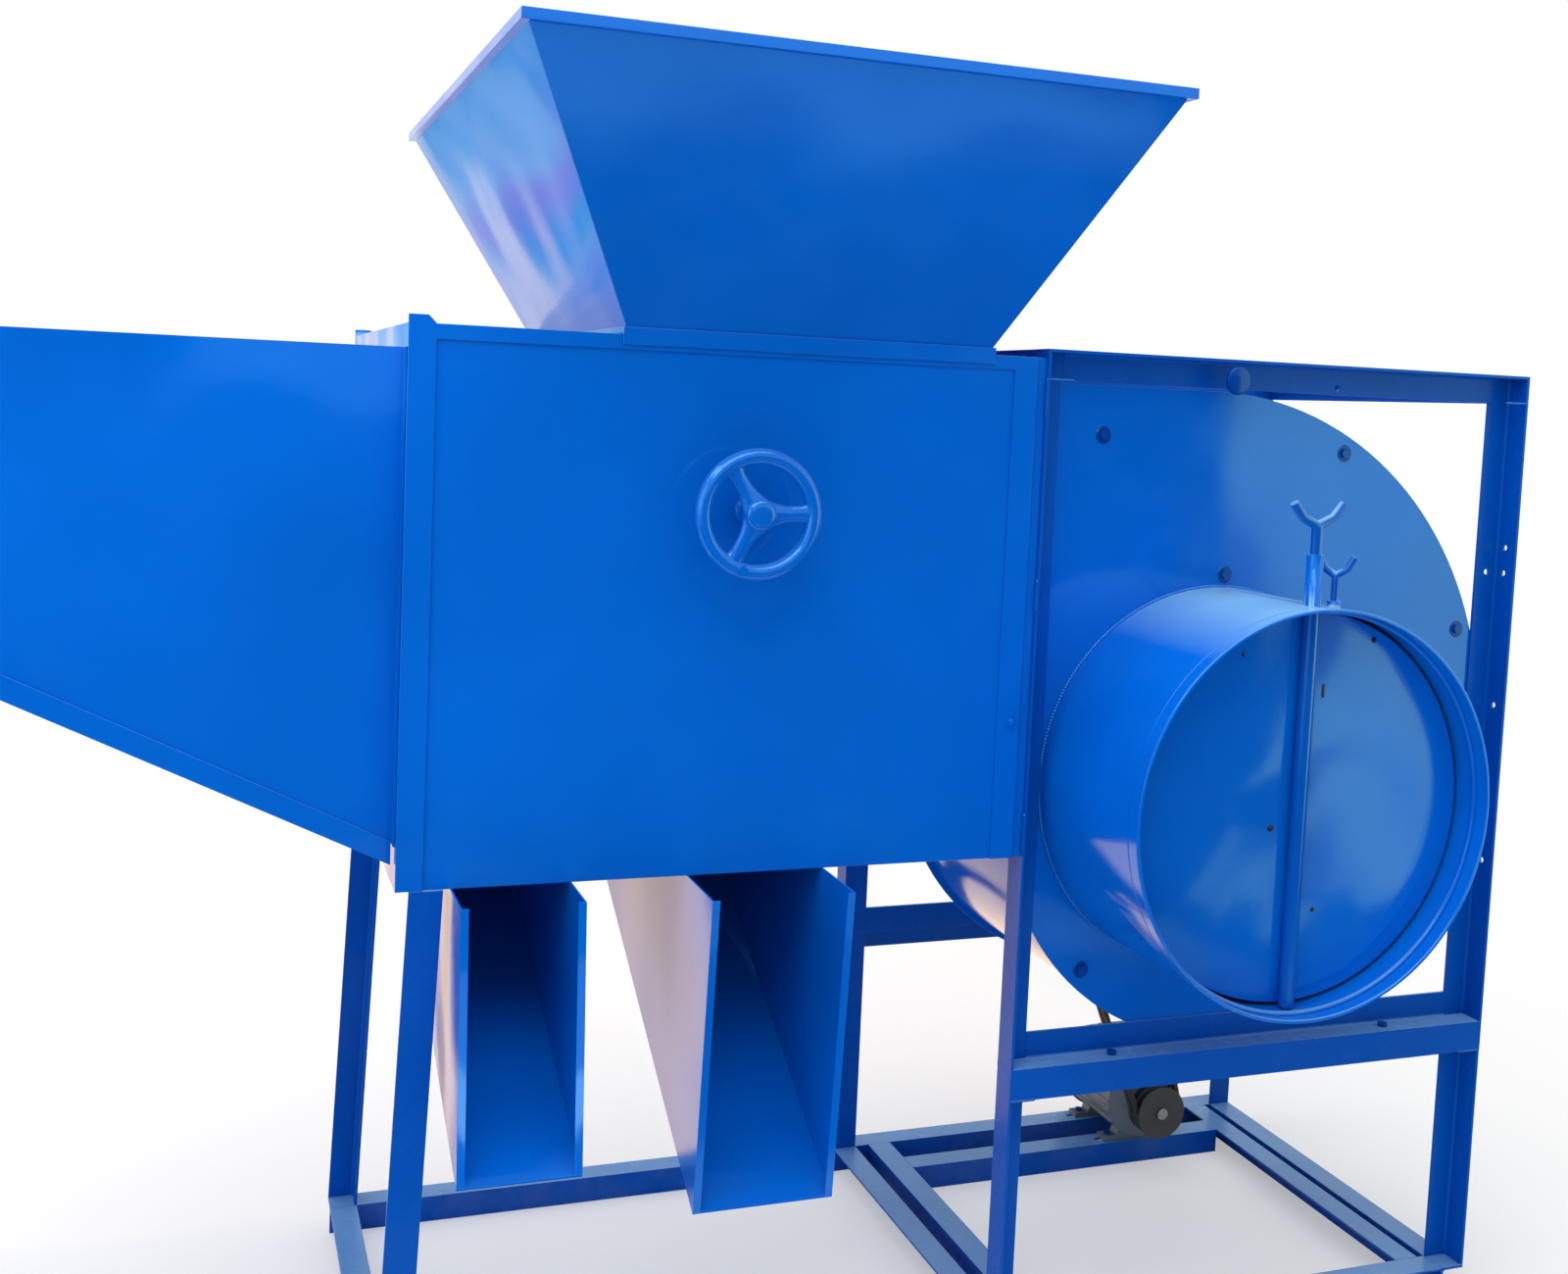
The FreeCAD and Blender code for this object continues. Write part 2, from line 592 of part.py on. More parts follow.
pivot_hole = rod(pivot_r + fit, Vector(shaft_x, damper_y, shaft_z - inlet_bore_r - pivot_length),
                 Vector(shaft_x, damper_y, shaft_z))
parts["inlet_cylinder"] = cylinder.cut(top_hole).cut(lock_hole).cut(pivot_hole)

# Impeller: hub, back disc, curved blades and front ring
lip = on_scroll(2, lip_turn(scroll_edge + sheet), scroll_edge + sheet)
impeller_r = math.hypot(lip.x - shaft_x, lip.z - shaft_z) - impeller_gap
impeller_eye_r = inlet_r - impeller_eye_in


def blade(turn):
    """One curved blade between the eye and the rim, standing on the back disc."""
    inner, outer = impeller_eye_r + blade_foot, impeller_r - blade_foot
    mid = (inner + outer) / 2
    span = impeller_back - disc_wall - impeller_front
    near, far = [
        [Vector(shaft_x + inner, 0, shaft_z + lift), Vector(shaft_x + mid, 0, shaft_z + lift + blade_bulge),
         Vector(shaft_x + outer, 0, shaft_z + lift + 3 * blade_bulge)]
        for lift in (0.0, blade_wall)
    ]
    edges = [Part.Arc(*near).toShape(), Part.makeLine(near[2], far[2])]
    edges += [Part.Arc(*far).toShape(), Part.makeLine(far[0], near[0])]
    shape = Part.Face(Part.Wire(Part.__sortEdges__(edges))).extrude(Y * span)
    shape.translate(Y * impeller_front)
    shape.rotate(Vector(shaft_x, 0, shaft_z), Y, turn)
    return shape


front_ring = ring_on_y(impeller_r, impeller_eye_r, impeller_front - disc_wall, impeller_front)
back_disc = ring_on_y(impeller_r, shaft_r + seat, impeller_back - disc_wall, impeller_back)
hub = ring_on_y(hub_r, shaft_r + seat, impeller_back - hub_length, impeller_back - disc_wall)
blades = [blade(360 * k / blade_count) for k in range(blade_count)]
parts["impeller"] = front_ring.multiFuse([back_disc, hub] + blades)

# Shaft, bearings and the channel that carries the outer one
cross_y = depth - bar
shaft_start = impeller_back - hub_length - shaft_nose
shaft_end = cross_y + shaft_tail
shaft_face_r = shaft_r - shaft_chamfer
shaft_profile = [(0, shaft_start), (shaft_face_r, shaft_start), (shaft_r, shaft_start + shaft_chamfer),
                 (shaft_r, shaft_end - shaft_chamfer), (shaft_face_r, shaft_end), (0, shaft_end)]
parts["fan_shaft"] = turned(shaft_profile, shaft_x, shaft_z)


def flange_bearing(face_y, side):
    """Square flange bearing: plate on its seat, stepped hub on the free side."""
    half = bearing_square / 2
    lo, hi = sorted((face_y, face_y + side * bearing_plate))
    plate = block(shaft_x - half, shaft_x + half, lo, hi, shaft_z - half, shaft_z + half)
    plate = plate.makeFillet(bearing_corner, [e for e in plate.Edges if abs(e.Length - bearing_plate) < 0.01])
    end = face_y + side * bearing_hub
    lo, hi = sorted((face_y, end))
    body = plate.fuse(Part.makeCylinder(bearing_hub_r, hi - lo, Vector(shaft_x, lo, shaft_z), Y))
    pitch = half - bearing_hole_in
    for sx in (-pitch, pitch):
        for sz in (-pitch, pitch):
            start = Vector(shaft_x + sx, face_y, shaft_z + sz)
            body = body.cut(rod(bearing_hole_r, start, start + Y * (side * bearing_plate)))
    bore = rod(shaft_r + fit, Vector(shaft_x, face_y, shaft_z), Vector(shaft_x, end, shaft_z))
    return body.cut(bore)


parts["bearing_inner"] = flange_bearing(rear_plate + sheet, 1)
parts["bearing_outer"] = flange_bearing(cross_y - bar_wall, -1)
half_rail = cross_rail_height / 2
web = block(fan_left, fan_right, cross_y - bar_wall, cross_y, shaft_z - half_rail, shaft_z + half_rail)
upper = block(fan_left, fan_right, cross_y - bar, cross_y - bar_wall,
              shaft_z + half_rail - bar_wall, shaft_z + half_rail)
lower = block(fan_left, fan_right, cross_y - bar, cross_y - bar_wall,
              shaft_z - half_rail, shaft_z - half_rail + bar_wall)
channel_hole = rod(shaft_r + channel_gap, Vector(shaft_x, cross_y - bar_wall, shaft_z),
                   Vector(shaft_x, cross_y, shaft_z))
parts["bearing_cross_rail"] = fuse([web, upper, lower]).cut(channel_hole)


# Belt drive: two-groove pulleys and two belts
groove_ys = [pulley_front + pulley_width / 2 + s * groove_pitch / 2 for s in (-1, 1)]


def pulley(x, z, radius, bore_r, hub_outer):
    """Grooved pulley: rim, thinner web and hub, cut by two V grooves."""
    y0, y1 = pulley_front, pulley_front + pulley_width
    body = ring_on_y(radius, bore_r + seat, y0, y1, x, z)
    rim_inside = radius - groove_depth - pulley_rim
    if rim_inside > hub_outer:
        body = body.cut(ring_on_y(rim_inside, hub_outer, y1 - pulley_recess, y1, x, z))
    for y in groove_ys:
        flank = [(radius + 1, y - groove_top / 2), (radius - groove_depth, y - groove_floor / 2),
                 (radius - groove_depth, y + groove_floor / 2), (radius + 1, y + groove_top / 2)]
        body = body.cut(turned(flank, x, z))
    return body


parts["fan_pulley"] = pulley(shaft_x, shaft_z, fan_pulley_r, shaft_r, 2 * shaft_r)
parts["motor_pulley"] = pulley(motor_x, motor_z, motor_pulley_r, motor_shaft_r, 2 * motor_shaft_r)


def belt_loop(outset, y):
    """Closed belt line round both pulleys: two arcs and the two outer tangents."""
    big = fan_pulley_r - groove_depth + belt_gap + outset
    small = motor_pulley_r - groove_depth + belt_gap + outset
    a, b = Vector(shaft_x, y, shaft_z), Vector(motor_x, y, motor_z)
    along = b - a
    gap = along.Length
    base = math.atan2(along.z, along.x)
    lean = math.acos((big - small) / gap)
    on = lambda c, r, t: c + Vector(r * math.cos(t), 0, r * math.sin(t))
    p1, p2 = on(a, big, base + lean), on(b, small, base + lean)
    q1, q2 = on(a, big, base - lean), on(b, small, base - lean)
    edges = [Part.makeLine(p1, p2), Part.Arc(p2, on(b, small, base), q2).toShape()]
    edges += [Part.makeLine(q2, q1), Part.Arc(q1, on(a, big, base + math.pi), p1).toShape()]
    return Part.Face(Part.Wire(edges))


belts = []
for y in groove_ys:
    y0 = y - belt_width / 2
    band = belt_loop(belt_thick, y0).extrude(Y * belt_width)
    belts.append(band.cut(belt_loop(0, y0).extrude(Y * belt_width)))
parts["drive_belts"] = Part.makeCompound(belts)

# Motor: ribbed barrel, end shield, fan cowl, feet and terminal box
barrel_end = motor_shoulder + motor_length
fins_from = motor_shoulder + motor_shield
fins_to = barrel_end - motor_cowl
cowl_r = motor_r + motor_cowl_proud
barrel = [(0, motor_shoulder), (motor_r / 2, motor_shoulder), (motor_r, fins_from), (motor_r, fins_to),
          (cowl_r, fins_to), (cowl_r, barrel_end - motor_cowl / 4), (motor_r, barrel_end), (0, barrel_end)]
motor = [turned(barrel, motor_x, motor_z)]
for k in range(fin_count):
    fin = block(motor_x - motor_fin_wall / 2, motor_x + motor_fin_wall / 2, fins_from, fins_to,
                motor_z + motor_r - motor_fin, motor_z + motor_r + motor_fin)
    fin.rotate(Vector(motor_x, 0, motor_z), Y, 240 * (k / (fin_count - 1) - 0.5))
    motor.append(fin)
foot_half = motor_foot_a / 2
foot_ends = [(foot_half + motor_foot_side, 0), (foot_half + motor_foot_side, motor_foot_thick),
             (foot_half - motor_foot_side, motor_foot_thick), (motor_foot_waist, motor_foot_rise)]
for fy in (motor_front_foot, motor_rear_foot):
    foot = [(motor_x + x, rail_top + z) for x, z in foot_ends]
    foot += [(motor_x - x, rail_top + z) for x, z in reversed(foot_ends)]
    motor.append(side_plate(foot, fy - motor_foot_long / 2, motor_foot_long))
box_low = motor_z + motor_r - motor_fin
box_front = motor_front_foot + terminal_box_back
motor.append(block(motor_x - terminal_box[0] / 2, motor_x + terminal_box[0] / 2, box_front,
                   box_front + terminal_box[1], box_low, box_low + motor_fin + terminal_box[2]))
housing = fuse(motor)
for fx in foot_xs:
    for fy in (motor_front_foot, motor_rear_foot):
        low = Vector(fx, fy, rail_top)
        housing = housing.cut(rod(motor_bolt_r + bolt_gap, low, low + Z * motor_foot_thick))
shaft_back = motor_shoulder + motor_shaft_deep
housing = housing.cut(rod(motor_shaft_r + fit, Vector(motor_x, motor_shoulder, motor_z),
                          Vector(motor_x, shaft_back, motor_z)))
parts["motor_housing"] = housing
parts["motor_shaft"] = rod(motor_shaft_r, Vector(motor_x, pulley_front - groove_pitch / 4, motor_z),
                           Vector(motor_x, shaft_back - bolt_gap, motor_z))

# Hopper: flared body with a turned rim, a base ring with a front skirt, and the inner throat
wide = (hopper_rect[0] - hopper_flare_x + rim_out, hopper_rect[1] + hopper_flare_x - rim_out,
        hopper_rect[2] - hopper_flare_y + rim_out, hopper_rect[3] + hopper_flare_y - rim_out)
ring_top = chamber_top + base_collar
rim_low = rim_top - rim_up
flare = funnel(hopper_rect, ring_top, wide, rim_low, sheet)
rim_rect = inset(wide, -rim_out)


def frame_ring(outer, inner, z0, z1):
    """Level rectangular ring."""
    return frustum(outer, z0, outer, z1).cut(frustum(inner, z0, inner, z1))


rim_flat = frame_ring(rim_rect, inset(wide, sheet), rim_low, rim_low + sheet)
rim_edge = frame_ring(rim_rect, inset(rim_rect, sheet), rim_low + sheet, rim_top)
ring_outer = inset(hopper_rect, -skirt_wall)
base_ring = frame_ring(ring_outer, inset(throat, sheet), chamber_top, ring_top)
skirt = block(ring_outer[0], ring_outer[1], -skirt_wall, 0, chamber_top - skirt_drop, chamber_top)
neck_rect = (neck_left, neck_left + neck_width, neck_front, neck_rear)
lower_funnel = funnel(throat, chamber_top, neck_rect, neck_top, sheet)
neck = frame_ring(neck_rect, inset(neck_rect, sheet), neck_top - neck_height, neck_top)
hopper = fuse([flare, rim_flat, rim_edge, base_ring, skirt, lower_funnel, neck])
shaft_clear = rod(gate_shaft_r + 2, Vector(gate_x, 0, gate_z), Vector(gate_x, depth, gate_z))
parts["hopper"] = hopper.cut(shaft_clear)

# Feed gate: shaft across the chamber, butterfly flap in the throat, and the handwheel
hub_front = -wheel_front - wheel_hub / 2
hub_rear = hub_front + wheel_hub
gate_shaft_front = hub_front + wheel_cap
gate_shaft_rear = depth + boss_length / 2
parts["gate_shaft"] = rod(gate_shaft_r, gate_axis + Y * gate_shaft_front, gate_axis + Y * gate_shaft_rear)
flap_half = neck_width / 2 - sheet - gate_gap
flap_y0 = neck_front + sheet + gate_end_gap
flap_y1 = neck_rear - sheet - gate_end_gap
flap = block(gate_x - flap_half, gate_x + flap_half, flap_y0, flap_y1,
             gate_z - gate_wall / 2, gate_z + gate_wall / 2)
flap_tube = rod(gate_shaft_r + gate_wall, gate_axis + Y * flap_y0, gate_axis + Y * flap_y1)
flap_bore = rod(gate_shaft_r + seat, gate_axis + Y * flap_y0, gate_axis + Y * flap_y1)
parts["feed_flap"] = fuse([flap, flap_tube]).cut(flap_bore)

rim_major = wheel_r - wheel_rim_r
rim_turns = [2 * math.pi * k / wheel_rim_sides for k in range(wheel_rim_sides)]
rim_profile = [(rim_major + wheel_rim_r * math.cos(t), wheel_rim_deep * math.sin(t) - wheel_front)
               for t in rim_turns]
rim = turned(rim_profile, gate_x, gate_z)
hub_edge = wheel_hub_r - wheel_cap
hub_profile = [(0, hub_front), (hub_edge, hub_front), (wheel_hub_r, gate_shaft_front),
               (wheel_hub_r, hub_rear), (0, hub_rear)]
wheel = [turned(hub_profile, gate_x, gate_z)]
spoke_stations = [(wheel_hub_r / 2, 1.3 * spoke_wall), (rim_major / 2, 0.8 * spoke_wall),
                  (rim_major * 0.75, 0.8 * spoke_wall), (rim_major, 1.8 * spoke_wall)]
spoke = [(gate_x + r, gate_z - half) for r, half in spoke_stations]
spoke += [(gate_x + r, gate_z + half) for r, half in reversed(spoke_stations)]
for turn in (0, 120, 240):
    arm = side_plate(spoke, -wheel_front - spoke_wall / 2, spoke_wall)
    arm.rotate(gate_axis, Y, turn)
    wheel.append(arm)
grip_turn = math.radians(grip_angle)
grip = gate_axis + Vector(rim_major * math.cos(grip_turn), -wheel_front, rim_major * math.sin(grip_turn))
wheel.append(rod(wheel_rim_r * 0.8, grip - Y * grip_reach, grip))
wheel_bore = rod(gate_shaft_r + seat, gate_axis + Y * gate_shaft_front, gate_axis)
parts["handwheel"] = rim.multiFuse(wheel).cut(wheel_bore)

# Exhaust duct: two tapered side panels, a roof and a floor with turned-down edges
duct_side = [(-duct_length, duct_top - duct_mouth_height), (0, duct_root_low), (0, duct_top)]
duct_side.append((-duct_length, duct_top))
duct_y = (duct_inset, depth - duct_inset)
mouth_y = [duct_y[0] - duct_flange / 2, duct_y[1] + duct_flange / 2]
mouth_z = [duct_top - duct_mouth_height + duct_flange, duct_top - duct_flange]
for side, (y0, out) in {"front": (duct_y[0], -1), "rear": (duct_y[1] - sheet, 1)}.items():
    face = y0 if out < 0 else y0 + sheet
    lo, hi = sorted((face, face + out * duct_flange))
    panel = side_plate(duct_side, y0, sheet)
    mouth_flange = block(-duct_length, -duct_length + sheet, lo, hi, duct_top - duct_mouth_height, duct_top)
    root_flange = block(-sheet, 0, lo, hi, duct_root_low, duct_top)
    panel = fuse([panel, mouth_flange, root_flange])
    for hz in mouth_z:
        hy = mouth_y[0] if out < 0 else mouth_y[1]
        hole = Vector(-duct_length, hy, hz)
        panel = panel.cut(rod(mouth_hole_r, hole, hole + X * sheet))
    parts["duct_%s_panel" % side] = panel
inner_y = (duct_y[0] + sheet, duct_y[1] - sheet)
roof_panel = block(-duct_length, 0, inner_y[0], inner_y[1], duct_top - sheet, duct_top)
roof_flange = block(-duct_length, -duct_length + sheet, inner_y[0], inner_y[1],
                    duct_top, duct_top + duct_flange)
parts["duct_roof"] = fuse([roof_panel, roof_flange])
low_edge = [(0, duct_root_low), (-duct_length, duct_top - duct_mouth_height)]
floor_line = low_edge + [(x, z - sheet) for x, z in reversed(low_edge)]
fall = (duct_root_height - duct_mouth_height) / duct_length * sheet
inner_edge = [(-sheet, duct_root_low + fall), (sheet - duct_length, mouth_z[0] - duct_flange - fall)]
skirt_line = inner_edge + [(x, z - duct_skirt) for x, z in reversed(inner_edge)]
floor_parts = [side_plate(floor_line, duct_y[0], duct_y[1] - duct_y[0])]
for y0 in (duct_y[0] - sheet, duct_y[1]):
    floor_parts.append(side_plate(skirt_line, y0, sheet))
flange_top = duct_top - duct_mouth_height - fall
floor_parts.append(block(-duct_length, -duct_length + sheet, duct_y[0] - sheet, duct_y[1] + sheet,
                         flange_top - duct_flange, flange_top))
parts["duct_floor"] = fuse(floor_parts)

# Chutes: side walls with folded front edges and a sloping floor
for name, (left, width, lip_z, reach_top, reach_lip) in chute_sizes.items():
    right = left + width
    outline = [(-reach_lip, lip_z), (-reach_top, chamber_bottom), (chute_rear, chamber_bottom)]
    rise = (chamber_bottom - lip_z) / (chute_rear + reach_lip)
    drop = sheet * math.sqrt(1 + rise ** 2)
    walls = []
    for x in (left, right - sheet):
        walls.append(prism([Vector(x, y, z) for y, z in outline], X * sheet))
    floor = [(-reach_lip, lip_z), (chute_rear, chamber_bottom), (chute_rear - drop / rise, chamber_bottom)]
    floor += [(-reach_lip, lip_z + drop)]
    walls.append(prism([Vector(left, y, z) for y, z in floor], X * width))
    for x in (left, right - chute_fold):
        fold = [(-reach_lip, lip_z), (-reach_top, chamber_bottom)]
        fold += [(-reach_top + sheet, chamber_bottom), (-reach_lip + sheet, lip_z)]
        walls.append(prism([Vector(x, y, z) for y, z in fold], X * chute_fold))
    parts["chute_%s" % name] = fuse(walls)

# Damper: disc on a spindle with a forked handle, and the wing screw that holds it
disc_y = damper_y + spindle_tube_r
disc = Part.makeCylinder(damper_r, sheet, Vector(shaft_x, disc_y, shaft_z), Y)
parts["damper_disc"] = disc


def fork(base, spread, rise, radius, heading):
    """Pair of bent arms rising from the top of a stem, as one mitred bar."""
    side = X * math.cos(heading) + Y * math.sin(heading)
    stations = [(-1, 1), (-0.6, 0.35), (0, 0), (0.6, 0.35), (1, 1)]
    points = [base + side * (spread * a) + Z * (rise * b) for a, b in stations]
    start = (points[1] - points[0]).normalize()
    section = Part.Wire([Part.makeCircle(radius, points[0], start)])
    return Part.makePolygon(points).makePipeShell([section], True, False, 1)


tube_low = shaft_z - inlet_bore_r + 4
tube_high = shaft_z + inlet_bore_r - 4
stem_top = sleeve_top + spindle_rise
spindle = [rod(spindle_tube_r, Vector(shaft_x, damper_y, tube_low), Vector(shaft_x, damper_y, tube_high)),
           rod(spindle_r, Vector(shaft_x, damper_y, tube_high), Vector(shaft_x, damper_y, stem_top)),
           rod(pivot_r, Vector(shaft_x, damper_y, shaft_z - inlet_bore_r - pivot_length + 1),
               Vector(shaft_x, damper_y, tube_low))]
spindle.append(fork(Vector(shaft_x, damper_y, stem_top), fork_spread, fork_rise, fork_r, 0.0))
parts["damper_spindle"] = spindle[0].multiFuse(spindle[1:])

lock_low = Vector(lock_x, damper_y, shaft_z + inlet_bore_r - lock_r)
lock_top = Vector(lock_x, damper_y, pad_top + lock_rise)
wings = fork(lock_top, lock_arm, lock_arm_rise, lock_r, math.radians(lock_heading))
parts["damper_lock_screw"] = rod(lock_r, lock_low, lock_top).fuse(wings)

# Bolts: fan frame to stand, the scroll's front plate, and the motor's feet


def bolt(face, out, grip, radius, head_r, head):
    """Hexagon bolt through a grip, with its nut."""
    pieces = [hexagon(face, out, head, head_r), hexagon(face - out * (grip + head), out, head, head_r)]
    return rod(radius, face - out * grip, face).multiFuse(pieces).removeSplitter()


bolts = []
for row, (heel_y, out, face_y) in frame_rows.items():
    for x in frame_bolts_x:
        top = Vector(x, heel_y + out.y * bar / 2, stand_top + bar_wall)
        bolts.append(bolt(top, Z, 2 * bar_wall, bolt_r, bolt_head_r, bolt_head))
for place in plate_bolts:
    bolts.append(bolt(place + Y * plate_front, -Y, sheet, bolt_r, bolt_head_r, bolt_head))
for fx in foot_xs:
    for fy in (motor_front_foot, motor_rear_foot):
        top = Vector(fx, fy, rail_top + motor_foot_thick)
        bolts.append(bolt(top, Z, motor_foot_thick + bar_wall, motor_bolt_r, foot_bolt_head_r, foot_bolt_head))
parts["bolts"] = Part.makeCompound(bolts)

os.makedirs("parts", exist_ok=True)
for name, shape in parts.items():
    piece = shape.copy()
    piece.translate(Vector(-origin_x, -origin_y, 0))
    piece.exportStep("parts/%s.step" % name)
print(len(parts), "parts, origin", round(origin_x, 2), round(origin_y, 2))
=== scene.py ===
import json
import math

import bmesh
import bpy
from mathutils import Matrix, Vector


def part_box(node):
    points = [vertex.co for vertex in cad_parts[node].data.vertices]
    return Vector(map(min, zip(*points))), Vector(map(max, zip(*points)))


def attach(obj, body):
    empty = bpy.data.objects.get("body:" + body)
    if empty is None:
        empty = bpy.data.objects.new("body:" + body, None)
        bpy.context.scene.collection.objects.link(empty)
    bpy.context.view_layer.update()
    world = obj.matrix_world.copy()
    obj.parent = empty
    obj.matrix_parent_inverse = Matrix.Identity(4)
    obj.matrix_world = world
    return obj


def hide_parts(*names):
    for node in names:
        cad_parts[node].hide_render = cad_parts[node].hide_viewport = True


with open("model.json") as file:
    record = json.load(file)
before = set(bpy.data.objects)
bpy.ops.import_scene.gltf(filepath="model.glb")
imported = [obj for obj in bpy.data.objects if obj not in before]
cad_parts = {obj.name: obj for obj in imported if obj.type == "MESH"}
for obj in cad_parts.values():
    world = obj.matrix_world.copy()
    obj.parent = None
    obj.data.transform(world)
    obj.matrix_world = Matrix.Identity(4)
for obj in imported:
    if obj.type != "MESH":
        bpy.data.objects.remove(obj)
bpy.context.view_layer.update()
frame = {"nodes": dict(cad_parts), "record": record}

MM = 0.001
AXIS_Y = Vector((0, 1, 0))
AXIS_Z = Vector((0, 0, 1))
FORWARD = -AXIS_Y


# Shader maths: a node tree written as expressions
class Wire:
    """A socket that a node gives out. Arithmetic on it adds Math nodes."""

    def __init__(self, shader, socket):
        self.shader = shader
        self.socket = socket

    def join(self, operation, first, second):
        return self.shader.node("ShaderNodeMath", {"operation": operation}, {0: first, 1: second})

    def __add__(self, other):
        return self.join("ADD", self, other)

    def __sub__(self, other):
        return self.join("SUBTRACT", self, other)

    def __rsub__(self, other):
        return self.join("SUBTRACT", other, self)

    def __mul__(self, other):
        return self.join("MULTIPLY", self, other)

    def larger(self, other):
        return self.join("MAXIMUM", self, other)

    __radd__ = __add__
    __rmul__ = __mul__


class Shader:
    """The node tree of a material or of the world."""

    def __init__(self, tree):
        self.tree = tree

    def node(self, kind, settings=None, values=None, out=0):
        """Adds a node: its settings first, a ramp's stops among them, then values or links."""
        node = self.tree.nodes.new(kind)
        for key, value in (settings or {}).items():
            if key == "stops":
                ramp = node.color_ramp
                for spot, (at, tone) in enumerate(value):
                    stop = ramp.elements[spot] if spot < 2 else ramp.elements.new(at)
                    stop.position = at
                    stop.color = (tone, tone, tone, 1)
            else:
                setattr(node, key, value)
        for key, value in (values or {}).items():
            self.feed(node.inputs[key], value)
        return Wire(self, node.outputs[out])

    def feed(self, socket, value):
        if isinstance(value, Wire):
            self.tree.links.new(value.socket, socket)
        else:
            socket.default_value = value

    def own(self, kind):
        """The node of a kind that the tree starts with."""
        return next(node for node in self.tree.nodes if node.type == kind)


class Finish(Shader):
    """A material that starts with a Principled surface."""

    def __init__(self, name):
        self.material = bpy.data.materials.new(name)
        self.material.use_nodes = True
        super().__init__(self.material.node_tree)
        self.surface = self.own("BSDF_PRINCIPLED")
        self.place = self.node("ShaderNodeTexCoord", out="Object")

    def along(self, vector, axis):
        """One axis of a vector."""
        return self.node("ShaderNodeSeparateXYZ", values={"Vector": vector}, out=axis)

    def noise(self, scale, detail=2.0, roughness=0.5, stretch=None):
        """Even noise from 0 to 1, drawn out along an axis if stretch is given."""
        place = self.place
        if stretch:
            place = self.node("ShaderNodeMapping", values={"Vector": self.place, "Scale": stretch})
        values = {"Vector": place, "Scale": scale, "Detail": detail, "Roughness": roughness}
        return self.node("ShaderNodeTexNoise", values=values)

    def ramp(self, wire, *stops):
        return self.node("ShaderNodeValToRGB", {"stops": stops}, {"Fac": wire})

    def blend(self, share, low, high):
        """Colour between low and high."""
        low, high = (tone if isinstance(tone, Wire) else (*tone, 1) for tone in (low, high))
        return self.node("ShaderNodeMix", {"data_type": "RGBA"}, {0: share, 6: low, 7: high}, out=2)

    def bump(self, height, distance, below=None):
        values = {"Height": height, "Distance": distance}
        if below:
            values["Normal"] = below
        return self.node("ShaderNodeBump", values=values)

    def glow(self, colour, strength):
        return self.node("ShaderNodeEmission", values={"Color": colour, "Strength": strength})

    def show(self, wire):
        """Makes a shader the one that the material shows."""
        self.feed(self.own("OUTPUT_MATERIAL").inputs["Surface"], wire)

    def apply(self, **sockets):
        """Sets or links sockets of the surface, spaces written as underscores."""
        for name, value in sockets.items():
            self.feed(self.surface.inputs[name.replace("_", " ")], value)
        return self.material


# Enamel colours: one blue paint, with lighter and darker copies of it that paint light and shade
PANEL_BLUE = (0.0004, 0.122, 0.61)
# lighter copy of the panel blue: painted light on the inlet cylinder
LIT_ROLLED_BLUE = (0.0004, 0.14, 0.66)
CASTING_BLUE = (0.0004, 0.125, 0.62)
# darker copy of the panel blue: painted shade on the damper spindle and lock screw
SHADED_SPINDLE_BLUE = (0.0004, 0.09, 0.48)
# darker copy of the panel blue: painted shade on the frame's bars, legs and base
SHADED_BAR_BLUE = (0.0004, 0.08, 0.45)
# much darker copy of the panel blue: painted shade on bolt heads, washers and the rail plug
SHADED_BOLT_BLUE = (0.0004, 0.05, 0.3)
BEARING_BLUE = (0.002, 0.09, 0.42)
SKY_SHEEN = (0.3, 0.62, 0.85)            # painted sheen of sky light on faces that look up
OVERSPRAY = (0.2, 0.36, 0.6)        # fine specks
GRIME = (0.42, 0.4, 0.36)           # dust on the base
GLOSS_TINT = (0.25, 0.72, 1.0, 1)   # tint of what the enamel mirrors


def shade(tone, factor):
    return tuple(part * factor for part in tone)


